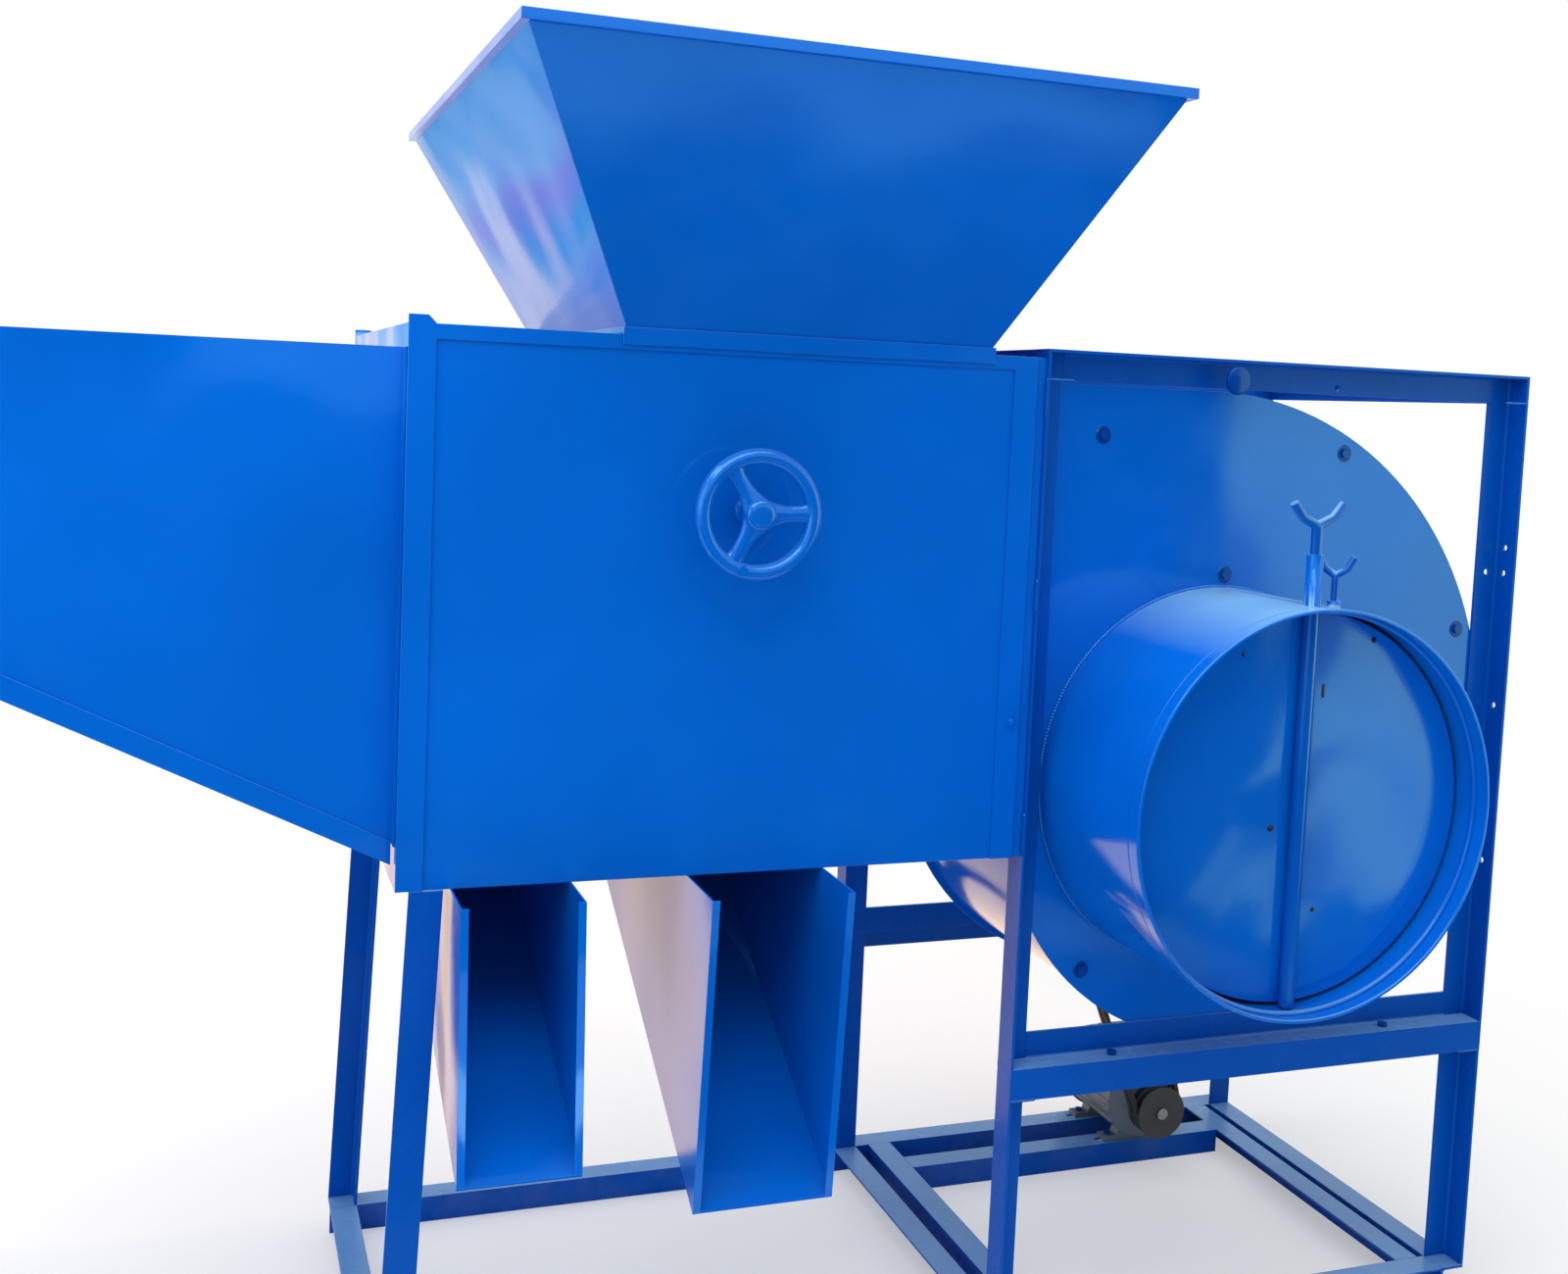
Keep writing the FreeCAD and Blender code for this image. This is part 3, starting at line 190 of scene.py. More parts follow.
def blue_enamel(name, tone, sag=0.0035, peel=0.00006, dust=0.0, sheen_share=0.4, gloss=0.55, sheen_slope=0.35,
                skin=0.1, above=None):
    """Sprayed enamel on sheet steel: uneven film, orange peel, a slightly wavy sheet, and a pale painted
    sheen of sky light on upward faces, past a given slope and above a given height."""
    finish = Finish(name)
    cloud = finish.ramp(finish.noise(1.7, 3), (0.3, 0.0), (0.7, 1.0))
    streak = finish.ramp(finish.noise(5.0, 4, 0.6, stretch=(1, 1, 0.25)), (0.42, 0.0), (0.72, 1.0))
    colour = finish.blend(cloud, shade(tone, 0.88), shade(tone, 1.08))
    colour = finish.blend(streak * 0.16, colour, shade(tone, 0.8))
    specks = finish.ramp(finish.noise(260, 2, 0.7), (0.7, 0.0), (0.76, 1.0))
    colour = finish.blend(specks * (0.04 + dust), colour, OVERSPRAY)
    # painted sheen: the base colour turns pale on upward faces, where sky light would gleam on them
    if sheen_share:
        upward = finish.along(finish.node("ShaderNodeNewGeometry", out="Normal"), "Z")
        half_way = sheen_slope + (1 - sheen_slope) * 0.6
        sheen_mask = finish.ramp(upward, (sheen_slope, 0.0), (half_way, 0.5), (1.0, 1.0))
        if above is not None:
            height = finish.along(finish.place, "Z")
            sheen_mask = sheen_mask * finish.ramp(height - above, (0.0, 0.0), (0.05, 1.0))
        patches = finish.ramp(finish.noise(4, 4, 0.6), (0.3, 0.8), (0.7, 1.0))
        colour = finish.blend(sheen_mask * patches * sheen_share, colour, SKY_SHEEN)
    if dust:
        film = finish.ramp(finish.noise(9, 5, 0.65), (0.4, 0.0), (0.8, 1.0))
        colour = finish.blend(film * dust, colour, GRIME)
    normal = finish.bump(finish.noise(2.6, 1), sag * 6)
    normal = finish.bump(finish.noise(34, 2), 0.00012, normal)
    normal = finish.bump(finish.noise(330, 1), peel, normal)
    smear = finish.ramp(finish.noise(12, 4), (0.35, 0.0), (0.75, 1.0))
    finish.apply(Coat_Weight=gloss * 0.25, Coat_Roughness=0.05, Specular_IOR_Level=gloss,
                  Specular_Tint=GLOSS_TINT)
    return finish.apply(Base_Color=colour, Roughness=skin + smear * 0.07 + specks * 0.2, Normal=normal)


def turned_steel(name):
    """Bare turned steel with fine rings and a thin film of oil."""
    finish = Finish(name)
    rings = finish.noise(900, 2, 0.6, stretch=(0.05, 1, 0.05))
    stain = finish.ramp(finish.noise(40, 4), (0.45, 0.0), (0.75, 1.0))
    colour = finish.blend(stain * 0.6, (0.52, 0.52, 0.53), (0.3, 0.26, 0.22))
    normal = finish.bump(rings, 0.00004)
    return finish.apply(Base_Color=colour, Roughness=0.26 + rings * 0.14 + stain * 0.15, Metallic=1.0,
                         Normal=normal)


def cast_iron(name, tone, shine=0.45):
    """Painted or blackened sand casting with a pebbled skin."""
    finish = Finish(name)
    grain = finish.noise(420, 3, 0.6)
    blotch = finish.ramp(finish.noise(30, 3), (0.35, 0.0), (0.7, 1.0))
    colour = finish.blend(blotch, shade(tone, 0.75), tone)
    normal = finish.bump(grain, 0.0003)
    return finish.apply(Base_Color=colour, Roughness=shine + grain * 0.15, Normal=normal)


def belt_rubber(name):
    """Black rubber with a woven cover."""
    finish = Finish(name)
    weave = finish.node("ShaderNodeTexWave", {"bands_direction": "DIAGONAL"},
                        {"Vector": finish.place, "Scale": 600.0, "Distortion": 1.5, "Detail": 1.0})
    dusty = finish.ramp(finish.noise(60, 3), (0.4, 0.0), (0.8, 1.0))
    colour = finish.blend(dusty * 0.5, (0.012, 0.012, 0.013), (0.05, 0.048, 0.045))
    normal = finish.bump(weave, 0.00015)
    return finish.apply(Base_Color=colour, Roughness=0.62 + dusty * 0.2, Normal=normal)


def motor_paint(name):
    """Grey machine paint on a ribbed aluminium motor."""
    finish = Finish(name)
    grain = finish.noise(500, 2)
    blotch = finish.ramp(finish.noise(14, 4), (0.35, 0.0), (0.75, 1.0))
    colour = finish.blend(blotch, (0.12, 0.145, 0.17), (0.165, 0.19, 0.215))
    normal = finish.bump(grain, 0.00012)
    return finish.apply(Base_Color=colour, Roughness=0.38 + grain * 0.12, Normal=normal)


# each finish's sheen share is how much painted sheen of sky light its upward faces get
finishes = {
    "panel": blue_enamel("panel_enamel", PANEL_BLUE),
    "wavy": blue_enamel("thin_sheet_enamel", PANEL_BLUE, sag=0.009),
    "hopper": blue_enamel("hopper_enamel", PANEL_BLUE, sag=0.003, sheen_share=0.2, gloss=0.8),
    "rolled": blue_enamel("rolled_sheet_enamel", LIT_ROLLED_BLUE, sag=0.005, sheen_share=1.0, sheen_slope=0.76, above=1.0),
    "disc": blue_enamel("damper_enamel", PANEL_BLUE, sag=0.007),
    "chute": blue_enamel("chute_enamel", PANEL_BLUE, sheen_share=0.0, gloss=0.7),
    "bar": blue_enamel("bar_enamel", SHADED_BAR_BLUE, sag=0.0008, peel=0.00009, sheen_share=0.6, gloss=0.15, skin=0.25),
    "base": blue_enamel("base_enamel", SHADED_BAR_BLUE, sag=0.0008, peel=0.00009, sheen_share=0.5, gloss=0.2, dust=0.12,
                        skin=0.25),
    "casting": blue_enamel("casting_enamel", CASTING_BLUE, sag=0.0006, peel=0.0002, sheen_share=0.1, gloss=0.8),
    "spindle": blue_enamel("spindle_enamel", SHADED_SPINDLE_BLUE, sag=0.0006, peel=0.0002, sheen_share=0.8, gloss=0.8),
    "head": blue_enamel("bolt_enamel_shaded", SHADED_BOLT_BLUE, sag=0.0006, peel=0.0001, sheen_share=0.0, gloss=0.3),
    "steel": turned_steel("turned_steel"),
    "iron": cast_iron("pulley_iron", (0.05, 0.052, 0.055)),
    "bearing": cast_iron("bearing_paint", BEARING_BLUE, shine=0.3),
    "belt": belt_rubber("belt_rubber"),
    "motor": motor_paint("motor_paint"),
    "dark": cast_iron("dark_plastic", (0.012, 0.012, 0.014), shine=0.4),
}


# Mesh helpers
FOLD = math.radians(30)     # a sharper outward edge than this is rounded
FLAT = math.radians(0.6)    # triangles that meet at less than this are one face
JOINED = 1e-7               # points nearer than this, in metres, are one
CAD_JOINED = 1e-6           # the same for the CAD's loose triangles


def object_from(form, name):
    """An object with a bmesh's form, linked into the scene."""
    mesh = bpy.data.meshes.new(name)
    form.to_mesh(mesh)
    form.free()
    made = bpy.data.objects.new(name, mesh)
    bpy.context.scene.collection.objects.link(made)
    return made


def piece_from(form, name, body, finish, smooth=35):
    """Finished piece from a bmesh, riding on a body."""
    form.normal_update()
    piece = object_from(form, name)
    piece.data.shade_smooth()
    piece.data.set_sharp_from_angle(angle=math.radians(smooth))
    piece.data.materials.append(finishes[finish])
    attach(piece, body)
    return piece


def soften(piece, width):
    """Rounds the weighted edges and keeps the flat faces flat."""
    edge = piece.modifiers.new("edges", "BEVEL")
    edge.width = width
    edge.segments = 2
    edge.limit_method = "WEIGHT"
    edge.use_clamp_overlap = True
    level = piece.modifiers.new("flat_faces", "WEIGHTED_NORMAL")
    level.mode = "FACE_AREA"
    level.weight = 100
    level.keep_sharp = True


def merged(node):
    """The CAD node's surface as whole faces, with a bevel weight on its outward folds."""
    form = bmesh.new()
    form.from_mesh(frame["nodes"][node].data)
    bmesh.ops.remove_doubles(form, verts=form.verts, dist=CAD_JOINED)
    bmesh.ops.dissolve_limit(form, angle_limit=FLAT, verts=form.verts, edges=form.edges,
                             use_dissolve_boundaries=False)
    weight = form.edges.layers.float.new("bevel_weight_edge")
    for edge in form.edges:
        outward = edge.is_manifold and edge.calc_face_angle_signed() > FOLD
        edge[weight] = 1.0 if outward else 0.0
    return form


bodies_of = {node: body for body, nodes in frame["record"]["behaviour"]["bodies"].items() for node in nodes}


def dress(node, finish, width=0.8 * MM):
    """The node's own form with softened edges, shown in its place."""
    piece = piece_from(merged(node), node + "_painted", bodies_of[node], finish)
    soften(piece, width)
    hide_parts(node)


def middle(node):
    low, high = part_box(node)
    return (low + high) / 2


def front_of(node):
    """The Y of a node's front face."""
    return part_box(node)[0].y


def turn_to(direction):
    """Rotation that takes +Z to a direction."""
    return Vector(direction).to_track_quat("Z", "Y").to_matrix().to_4x4()


def edges_of(points):
    return list(dict.fromkeys(edge for point in points for edge in point.link_edges))


def spin_round(form, points, steps):
    """Turns a line of joined points a full circle about Z."""
    bmesh.ops.spin(form, geom=points + edges_of(points), cent=(0, 0, 0), axis=(0, 0, 1), angle=math.tau,
                   steps=steps, use_merge=True, use_duplicate=False)


def lay_ring(form, major, minor, around, across):
    """Closed round ring about Z, around the origin."""
    circle = bmesh.ops.create_circle(form, segments=across, radius=minor, cap_ends=False)["verts"]
    bmesh.ops.rotate(form, verts=circle, cent=(0, 0, 0), matrix=Matrix.Rotation(math.radians(90), 3, "X"))
    bmesh.ops.translate(form, verts=circle, vec=(major, 0, 0))
    spin_round(form, circle, around)
    bmesh.ops.remove_doubles(form, verts=form.verts, dist=JOINED)


def lay_disc(form, centre, direction, radius, height, segments=24, top=None):
    """Closed round slice standing on a point, narrower at the top if asked."""
    place = Matrix.Translation(Vector(centre) + direction * (height / 2)) @ turn_to(direction)
    return bmesh.ops.create_cone(form, cap_ends=True, segments=segments, radius1=radius,
                                 radius2=radius if top is None else top, depth=height, matrix=place)["verts"]


def lay_head(form, base, direction, radius, height, sides, chamfer, steps):
    """Bolt head with a rounded crown. Six sides make a hexagon, many a round head."""
    head = lay_disc(form, base, direction, radius, height, sides)
    crown = [edge for edge in edges_of(head)
             if all((point.co - base).dot(direction) > height * 0.9 for point in edge.verts)]
    bmesh.ops.bevel(form, geom=crown, offset=chamfer, segments=steps, profile=0.5, affect="EDGES",
                    material=-1)


def lay_hex_bolt(form, centre, direction, radius, height):
    """Washer and six-sided head."""
    washer = 1.6 * MM
    lay_disc(form, centre, direction, radius * 1.35, washer)
    lay_head(form, Vector(centre) + direction * washer, direction, radius, height, 6, 1.2 * MM, 2)


def lay_rivet(form, centre, radius):
    """Low domed head on the front."""
    place = Matrix.Translation(centre) @ turn_to(FORWARD) @ Matrix.Diagonal((1, 1, 0.5, 1))
    bmesh.ops.create_uvsphere(form, u_segments=16, v_segments=8, radius=radius, matrix=place)


def lay_ripple(form, centre, along, radius, stretch):
    """One drop of a weld, drawn out along its run."""
    place = Matrix.Translation(centre) @ turn_to(along) @ Matrix.Diagonal((1, 1, stretch, 1))
    bmesh.ops.create_icosphere(form, subdivisions=1, radius=radius, matrix=place)


def lay_weld(form, start, end, radius, pitch=5 * MM):
    """Fillet weld from one point to another: a row of overlapping drops."""
    start = Vector(start)
    run = Vector(end) - start
    count = max(2, round(run.length / pitch))
    for drop in range(count):
        lay_ripple(form, start + run * ((drop + 0.5) / count), run, radius, 1.15 * pitch / radius)


# Sheet metal, bars and castings: the CAD's forms with softened edges, each group in its finish
panels = ["chamber_front_panel", "chamber_rear_panel", "chamber_roof", "chamber_floor", "chamber_divider",
          "chamber_right_collar", "scroll_front_plate", "scroll_rear_plate"]
thin_sheets = ["duct_front_panel", "duct_rear_panel", "duct_roof", "duct_floor"]
bars = [node for node in frame["nodes"]
        if node.startswith(("leg_", "stand_", "fan_post", "fan_rail", "fan_tie"))]
bars.append("bearing_cross_rail")
base_bars = [node for node in frame["nodes"] if node.startswith(("base_", "motor_slide"))]
for node in panels:
    dress(node, "panel")
for node in thin_sheets:
    dress(node, "wavy")
for node in bars:
    dress(node, "bar", width=1.0 * MM)
for node in base_bars:
    dress(node, "base", width=1.0 * MM)
for node in ("chute_left", "chute_right"):
    dress(node, "chute")
dress("hopper", "hopper")
dress("inlet_cylinder", "rolled", width=0.5 * MM)
dress("scroll_wrapper", "panel", width=0.5 * MM)
dress("damper_disc", "disc", width=0.5 * MM)
for node in ("damper_spindle", "damper_lock_screw"):
    dress(node, "spindle", width=0.5 * MM)
dress("feed_flap", "casting", width=0.5 * MM)
dress("bolts", "head", width=0.4 * MM)
dress("impeller", "panel", width=0.4 * MM)
for node in ("bearing_inner", "bearing_outer"):
    dress(node, "bearing", width=1.2 * MM)
for node in ("fan_shaft", "motor_shaft", "gate_shaft"):
    dress(node, "steel", width=0.5 * MM)
for node in ("fan_pulley", "motor_pulley"):
    dress(node, "iron")
dress("drive_belts", "belt")
dress("motor_housing", "motor", width=1.0 * MM)


# Handwheel: one casting with a round rim, three arms that swell into rim and hub, and a grip stud
RIM_R = 12.5 * MM               # half the rim's width
RIM_HALF_DEPTH = 13 * MM
RIM_BEHIND_FRONT = 20 * MM      # the rim's middle, behind the wheel's foremost point
ARM_TURNS = (2, 122, 242)       # degrees
ARM_SECTIONS = ((0.16, 22, 9.0), (0.3, 17, 8.5), (0.5, 12.5, 8.0), (0.74, 12.5, 8.0), (0.88, 15.5, 8.5),
                (0.99, 21, 9.0))    # share of the way out, half width and half thickness in mm
ARM_RISE = 8 * MM               # how far the arms come forward at the hub
HUB_OUTLINE = ((0, 20), (13, 20), (18, 19), (22, 16.5), (24.5, 12), (25.5, 5), (25.5, -18),
               (0, -18))            # radius and height in mm
STUD_TURN = 252                 # degrees
STUD_FOOT_R, STUD_TOP_R, STUD_HEIGHT = 9 * MM, 7.5 * MM, 18 * MM


def lay_arm(form, turn, reach):
    """Wheel arm lofted through oval sections, from the hub out to a reach."""
    loops = []
    for share, half_wide, half_thick in ARM_SECTIONS:
        oval = bmesh.ops.create_circle(form, segments=20, radius=1.0, cap_ends=False)["verts"]
        bmesh.ops.scale(form, verts=oval, vec=(half_wide * MM, half_thick * MM, 1))
        for axis in "YX":
            quarter = Matrix.Rotation(math.radians(90), 3, axis)
            bmesh.ops.rotate(form, verts=oval, cent=(0, 0, 0), matrix=quarter)
        bmesh.ops.translate(form, verts=oval, vec=(share * reach, 0, ARM_RISE * (1 - share) ** 2))
        bmesh.ops.rotate(form, verts=oval, cent=(0, 0, 0), matrix=Matrix.Rotation(math.radians(turn), 3, "Z"))
        loops.append(edges_of(oval))
    for near, far in zip(loops, loops[1:]):
        bmesh.ops.bridge_loops(form, edges=near + far)
    for end in (loops[0], loops[-1]):
        bmesh.ops.holes_fill(form, edges=end, sides=0)


def handwheel():
    low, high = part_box("handwheel")
    reach = (high.z - low.z) / 2 - RIM_R
    form = bmesh.new()
    lay_ring(form, reach, RIM_R, around=96, across=20)
    bmesh.ops.scale(form, verts=form.verts, vec=(1, 1, RIM_HALF_DEPTH / RIM_R))
    for turn in ARM_TURNS:
        lay_arm(form, turn, reach)
    outline = [form.verts.new((radius * MM, 0, height * MM)) for radius, height in HUB_OUTLINE]
    for pair in zip(outline, outline[1:]):
        form.edges.new(pair)
    spin_round(form, outline, 48)
    stud_turn = math.radians(STUD_TURN)
    stud_middle = (reach * math.cos(stud_turn), reach * math.sin(stud_turn), STUD_HEIGHT / 2)
    bmesh.ops.create_cone(form, cap_ends=True, segments=28, radius1=STUD_FOOT_R, radius2=STUD_TOP_R,
                          depth=STUD_HEIGHT, matrix=Matrix.Translation(stud_middle))
    bmesh.ops.remove_doubles(form, verts=form.verts, dist=JOINED)
    bmesh.ops.recalc_face_normals(form, faces=form.faces)
    centre = ((low.x + high.x) / 2, low.y + RIM_BEHIND_FRONT, (low.z + high.z) / 2)
    upright = Matrix.Translation(centre) @ Matrix.Rotation(math.radians(90), 4, "X")
    bmesh.ops.transform(form, verts=form.verts, matrix=upright)
    casting = piece_from(form, "handwheel_casting", "feed_gate", "casting", smooth=50)
    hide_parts("handwheel")


handwheel()


# Inlet cylinder: rolled rim, stiffening bead inside it, and the weld to the scroll
ROLL_R = 3 * MM
BEAD_R = 5 * MM
BEAD_IN = 30 * MM               # the bead's middle, behind the rim
INLET_WELD_R = 4 * MM
INLET_WELD_DROPS = 380


def inlet_ring(name, centre, major, minor):
    form = bmesh.new()
    lay_ring(form, major, minor, around=160, across=12)
    bmesh.ops.recalc_face_normals(form, faces=form.faces)
    bmesh.ops.transform(form, verts=form.verts, matrix=Matrix.Translation(centre) @ turn_to(AXIS_Y))
    piece_from(form, name, "frame", "panel", smooth=60)


def inlet_trim():
    low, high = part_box("inlet_cylinder")
    radius = (high.x - low.x) / 2
    axis = Vector(((low.x + high.x) / 2, 0, middle("impeller").z))
    rim = axis + AXIS_Y * low.y
    inlet_ring("inlet_rim_roll", rim + AXIS_Y * ROLL_R, radius - ROLL_R / 2, ROLL_R)
    inlet_ring("inlet_stop_bead", rim + AXIS_Y * BEAD_IN, radius - 4.5 * MM, BEAD_R)
    form = bmesh.new()
    foot = axis + AXIS_Y * (front_of("scroll_front_plate") - 1 * MM)
    for drop in range(INLET_WELD_DROPS):
        turn = math.tau * drop / INLET_WELD_DROPS
        outward = Vector((math.cos(turn), 0, math.sin(turn)))
        along = Vector((-math.sin(turn), 0, math.cos(turn)))
        lay_ripple(form, foot + outward * (radius + 1 * MM), along, INLET_WELD_R, 1.3)
    piece_from(form, "inlet_weld", "frame", "casting", smooth=60)


inlet_trim()


# Small fixings and marks. A spot is the X and Z of a piece's middle, in metres
PLUG_SPOT = (0.8283, 1.6952)
PLUG_R, PLUG_RISE = 25 * MM, 6 * MM
SCROLL_BOLT_SPOTS = ((0.6045, 1.593), (1.0946, 1.5774), (1.3702, 1.2605), (0.6184, 0.6703),
                     (0.8605, 1.359))
SCREW_SPOT = (0.4317, 1.1176)
RIVETS = ((0.9859, 1.2787, 5.0), (0.8075, 0.9734, 5.5), (0.9002, 0.8334, 4.2),
          (0.7361, 1.2569, 3.6))    # spot, and radius in mm
SCAR_SPOT = (0.8923, 1.196)
SCAR_SIZE = (5 * MM, 1.6 * MM, 22 * MM)


def top_rail_plug():
    """Wide round plug in the fan frame's top rail."""
    x, z = PLUG_SPOT
    base = Vector((x, front_of("fan_rail_top_front"), z))
    brim = PLUG_RISE * 0.3
    form = bmesh.new()
    lay_disc(form, base, FORWARD, PLUG_R, brim, segments=40, top=PLUG_R * 0.97)
    lay_head(form, base + FORWARD * brim, FORWARD, PLUG_R * 0.9, PLUG_RISE - brim, 40, PLUG_RISE * 0.4, 4)
    piece_from(form, "top_rail_plug", "frame", "head", smooth=50)


def scroll_plate_washers():
    """Thin washers under the bolts of the scroll's front plate."""
    form = bmesh.new()
    for x, z in SCROLL_BOLT_SPOTS:
        base = (x, front_of("scroll_front_plate"), z)
        lay_disc(form, base, FORWARD, 15 * MM, 1.2 * MM, segments=32, top=13.6 * MM)
    piece_from(form, "scroll_plate_washers", "frame", "head", smooth=40)


def post_screw():
    """Screw in the chamber's right strip, which lies in one plane with the post."""
    x, z = SCREW_SPOT
    form = bmesh.new()
    lay_hex_bolt(form, (x, front_of("fan_post_front_left"), z), FORWARD, 6 * MM, 4 * MM)
    piece_from(form, "post_screw", "frame", "casting", smooth=40)


def damper_marks():
    """Four rivets and a scar in the damper's enamel."""
    face = front_of("damper_disc")
    form = bmesh.new()
    for x, z, radius in RIVETS:
        lay_rivet(form, (x, face, z), radius * MM)
    piece_from(form, "disc_rivets", "damper", "dark", smooth=60)
    x, z = SCAR_SPOT
    form = bmesh.new()
    place = Matrix.Translation((x, face, z)) @ Matrix.Diagonal((*SCAR_SIZE, 1))
    bmesh.ops.create_cube(form, size=1.0, matrix=place)
    bmesh.ops.bevel(form, geom=list(form.edges), offset=0.5 * MM, segments=2, profile=0.5, affect="EDGES",
                    material=-1)
    piece_from(form, "disc_scar", "damper", "dark", smooth=60)


# Welds and the duct's bolts
POST_WELDS = ((0.9, 0.96), (1.3, 1.35), (1.62, 1.68))   # heights of the stitches, bottom and top
POST_WELD_R = 3 * MM
BAR_WELD_R = 2.6 * MM
POST_HEAD, LEG_HEAD, LEG_FOOT = 1.68, 0.47, 0.05    # heights where a bar is welded across
DUCT_BOLTS_X = -0.5385
DUCT_BOLTS_Z = (1.06, 1.24, 1.42, 1.6)
HOPPER_FOOT_LEFT, HOPPER_FOOT_RIGHT, HOPPER_FOOT_REAR = -0.2415, 0.3695, 0.395
HOPPER_WELD_R, HOPPER_WELD_PITCH = 3.2 * MM, 7 * MM


def weld_across(form, bar, height):
    """Weld across the front of an upright bar."""
    low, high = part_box(bar)
    y = low.y + 1 * MM
    lay_weld(form, (low.x + 3 * MM, y, height), (high.x - 3 * MM, y, height), BAR_WELD_R)


def frame_welds():
    """Stitches between post and chamber, and the ends of the front posts and legs."""
    low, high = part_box("fan_post_front_left")
    y = low.y + 2 * MM
    form = bmesh.new()
    for bottom, top in POST_WELDS:
        lay_weld(form, (low.x, y, bottom), (low.x, y, top), POST_WELD_R)
    for side in ("left", "right"):
        weld_across(form, "fan_post_front_" + side, POST_HEAD)
        weld_across(form, "stand_leg_front_" + side, LEG_HEAD)
        weld_across(form, "stand_leg_front_" + side, LEG_FOOT)
    piece_from(form, "frame_welds", "frame", "bar", smooth=60)


def duct_joint_bolts():
    """Bolts through the rear flanges of duct and chamber."""
    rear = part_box("chamber_rear_panel")[1].y
    form = bmesh.new()
    for z in DUCT_BOLTS_Z:
        lay_hex_bolt(form, (DUCT_BOLTS_X, rear, z), AXIS_Y, 6.5 * MM, 5 * MM)
    piece_from(form, "duct_joint_bolts", "frame", "head", smooth=40)


def hopper_weld():
    """Weld round three sides of the hopper's foot, on the chamber's roof."""
    low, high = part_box("chamber_roof")
    z = high.z + 1 * MM
    front = low.y + 3 * MM
    front_left, rear_left = (HOPPER_FOOT_LEFT, front, z), (HOPPER_FOOT_LEFT, HOPPER_FOOT_REAR, z)
    front_right, rear_right = (HOPPER_FOOT_RIGHT, front, z), (HOPPER_FOOT_RIGHT, HOPPER_FOOT_REAR, z)
    form = bmesh.new()
    for start, end in ((front_left, rear_left), (front_right, rear_right), (rear_left, rear_right)):
        lay_weld(form, start, end, HOPPER_WELD_R, HOPPER_WELD_PITCH)
    piece_from(form, "hopper_weld", "frame", "bar", smooth=60)


for make in (top_rail_plug, scroll_plate_washers, post_screw, damper_marks, frame_welds, duct_joint_bolts,
             hopper_weld):
    make()


# Motor: grille on the cowl, and the terminal box's lid screws
GRILLE_RINGS = (14, 27, 40, 53, 66)     # radii in mm
GRILLE_WIRE_R = 2.2 * MM
GRILLE_SPOKES = 8
SPOKE_SIZE = (54 * MM, 4 * MM, 3 * MM)
SPOKE_MIDDLE = 40 * MM                  # out from the axis
GRILLE_SUNK = 0.5 * MM                  # below the cowl's end
TERMINAL_BOX_Y = 0.376
TERMINAL_SCREWS = (0.039, 0.037)        # out from the lid's middle, in X and Y


def motor_grille():
    form = bmesh.new()
    for radius in GRILLE_RINGS:
        lay_ring(form, radius * MM, GRILLE_WIRE_R, around=64, across=8)
    bmesh.ops.recalc_face_normals(form, faces=form.faces)
    for spoke in range(GRILLE_SPOKES):
        turn = Matrix.Rotation(math.tau * spoke / GRILLE_SPOKES, 4, "Z")
        bar = Matrix.Translation((SPOKE_MIDDLE, 0, 0)) @ Matrix.Diagonal((*SPOKE_SIZE, 1))
        bmesh.ops.create_cube(form, size=1.0, matrix=turn @ bar)
    bmesh.ops.create_cone(form, cap_ends=True, segments=32, radius1=14 * MM, radius2=11 * MM, depth=4 * MM)
    axis = middle("motor_shaft")
    end = (axis.x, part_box("motor_housing")[1].y - GRILLE_SUNK, axis.z)
    bmesh.ops.transform(form, verts=form.verts, matrix=Matrix.Translation(end) @ turn_to(AXIS_Y))
    piece_from(form, "motor_grille", "frame", "motor", smooth=50)


def terminal_screws():
    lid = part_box("motor_housing")[1].z
    out_x, out_y = TERMINAL_SCREWS
    form = bmesh.new()
    for x in (-out_x, out_x):
        for y in (-out_y, out_y):
            spot = (middle("motor_shaft").x + x, TERMINAL_BOX_Y + y, lid)
            lay_hex_bolt(form, spot, AXIS_Z, 3.2 * MM, 2 * MM)
    piece_from(form, "terminal_screws", "frame", "steel", smooth=40)


motor_grille()
terminal_screws()


# Camera at the photograph's place: the picture's focal length and centre are in its own pixels
PICTURE = (1600, 1300)
FOCAL = 1714.3
CENTRE = (814.7, 547.9)
CAMERA_AT = (-0.8428, -2.7882, 1.618)
YAW, PITCH, ROLL = 0.350, -0.077, -0.043


def photograph_camera():
    data = bpy.data.cameras.new("photograph_view")
    data.sensor_width = 36
    data.lens = FOCAL * data.sensor_width / PICTURE[0]
    data.shift_x = (PICTURE[0] / 2 - CENTRE[0]) / PICTURE[0]
    data.shift_y = (CENTRE[1] - PICTURE[1] / 2) / PICTURE[0]
    ahead = Vector((math.sin(YAW) * math.cos(PITCH), math.cos(YAW) * math.cos(PITCH), math.sin(PITCH)))
    level = Vector((math.cos(YAW), -math.sin(YAW), 0))
    drop = ahead.cross(level)
    right = level * math.cos(ROLL) + drop * math.sin(ROLL)
    up = level * math.sin(ROLL) - drop * math.cos(ROLL)
    camera = bpy.data.objects.new("photograph_view", data)
    turn = Matrix((right, up, -ahead)).transposed().to_4x4()
    camera.matrix_world = Matrix.Translation(CAMERA_AT) @ turn
    bpy.context.scene.collection.objects.link(camera)
    bpy.context.scene.camera = camera


photograph_camera()


# Studio: white surround, pale floor, soft lamps, and cards that only show in reflections
SURROUND_LIGHT = 0.69           # the surround's strength as light, where 1 is what is seen of it
WHITE = (1, 1, 1)


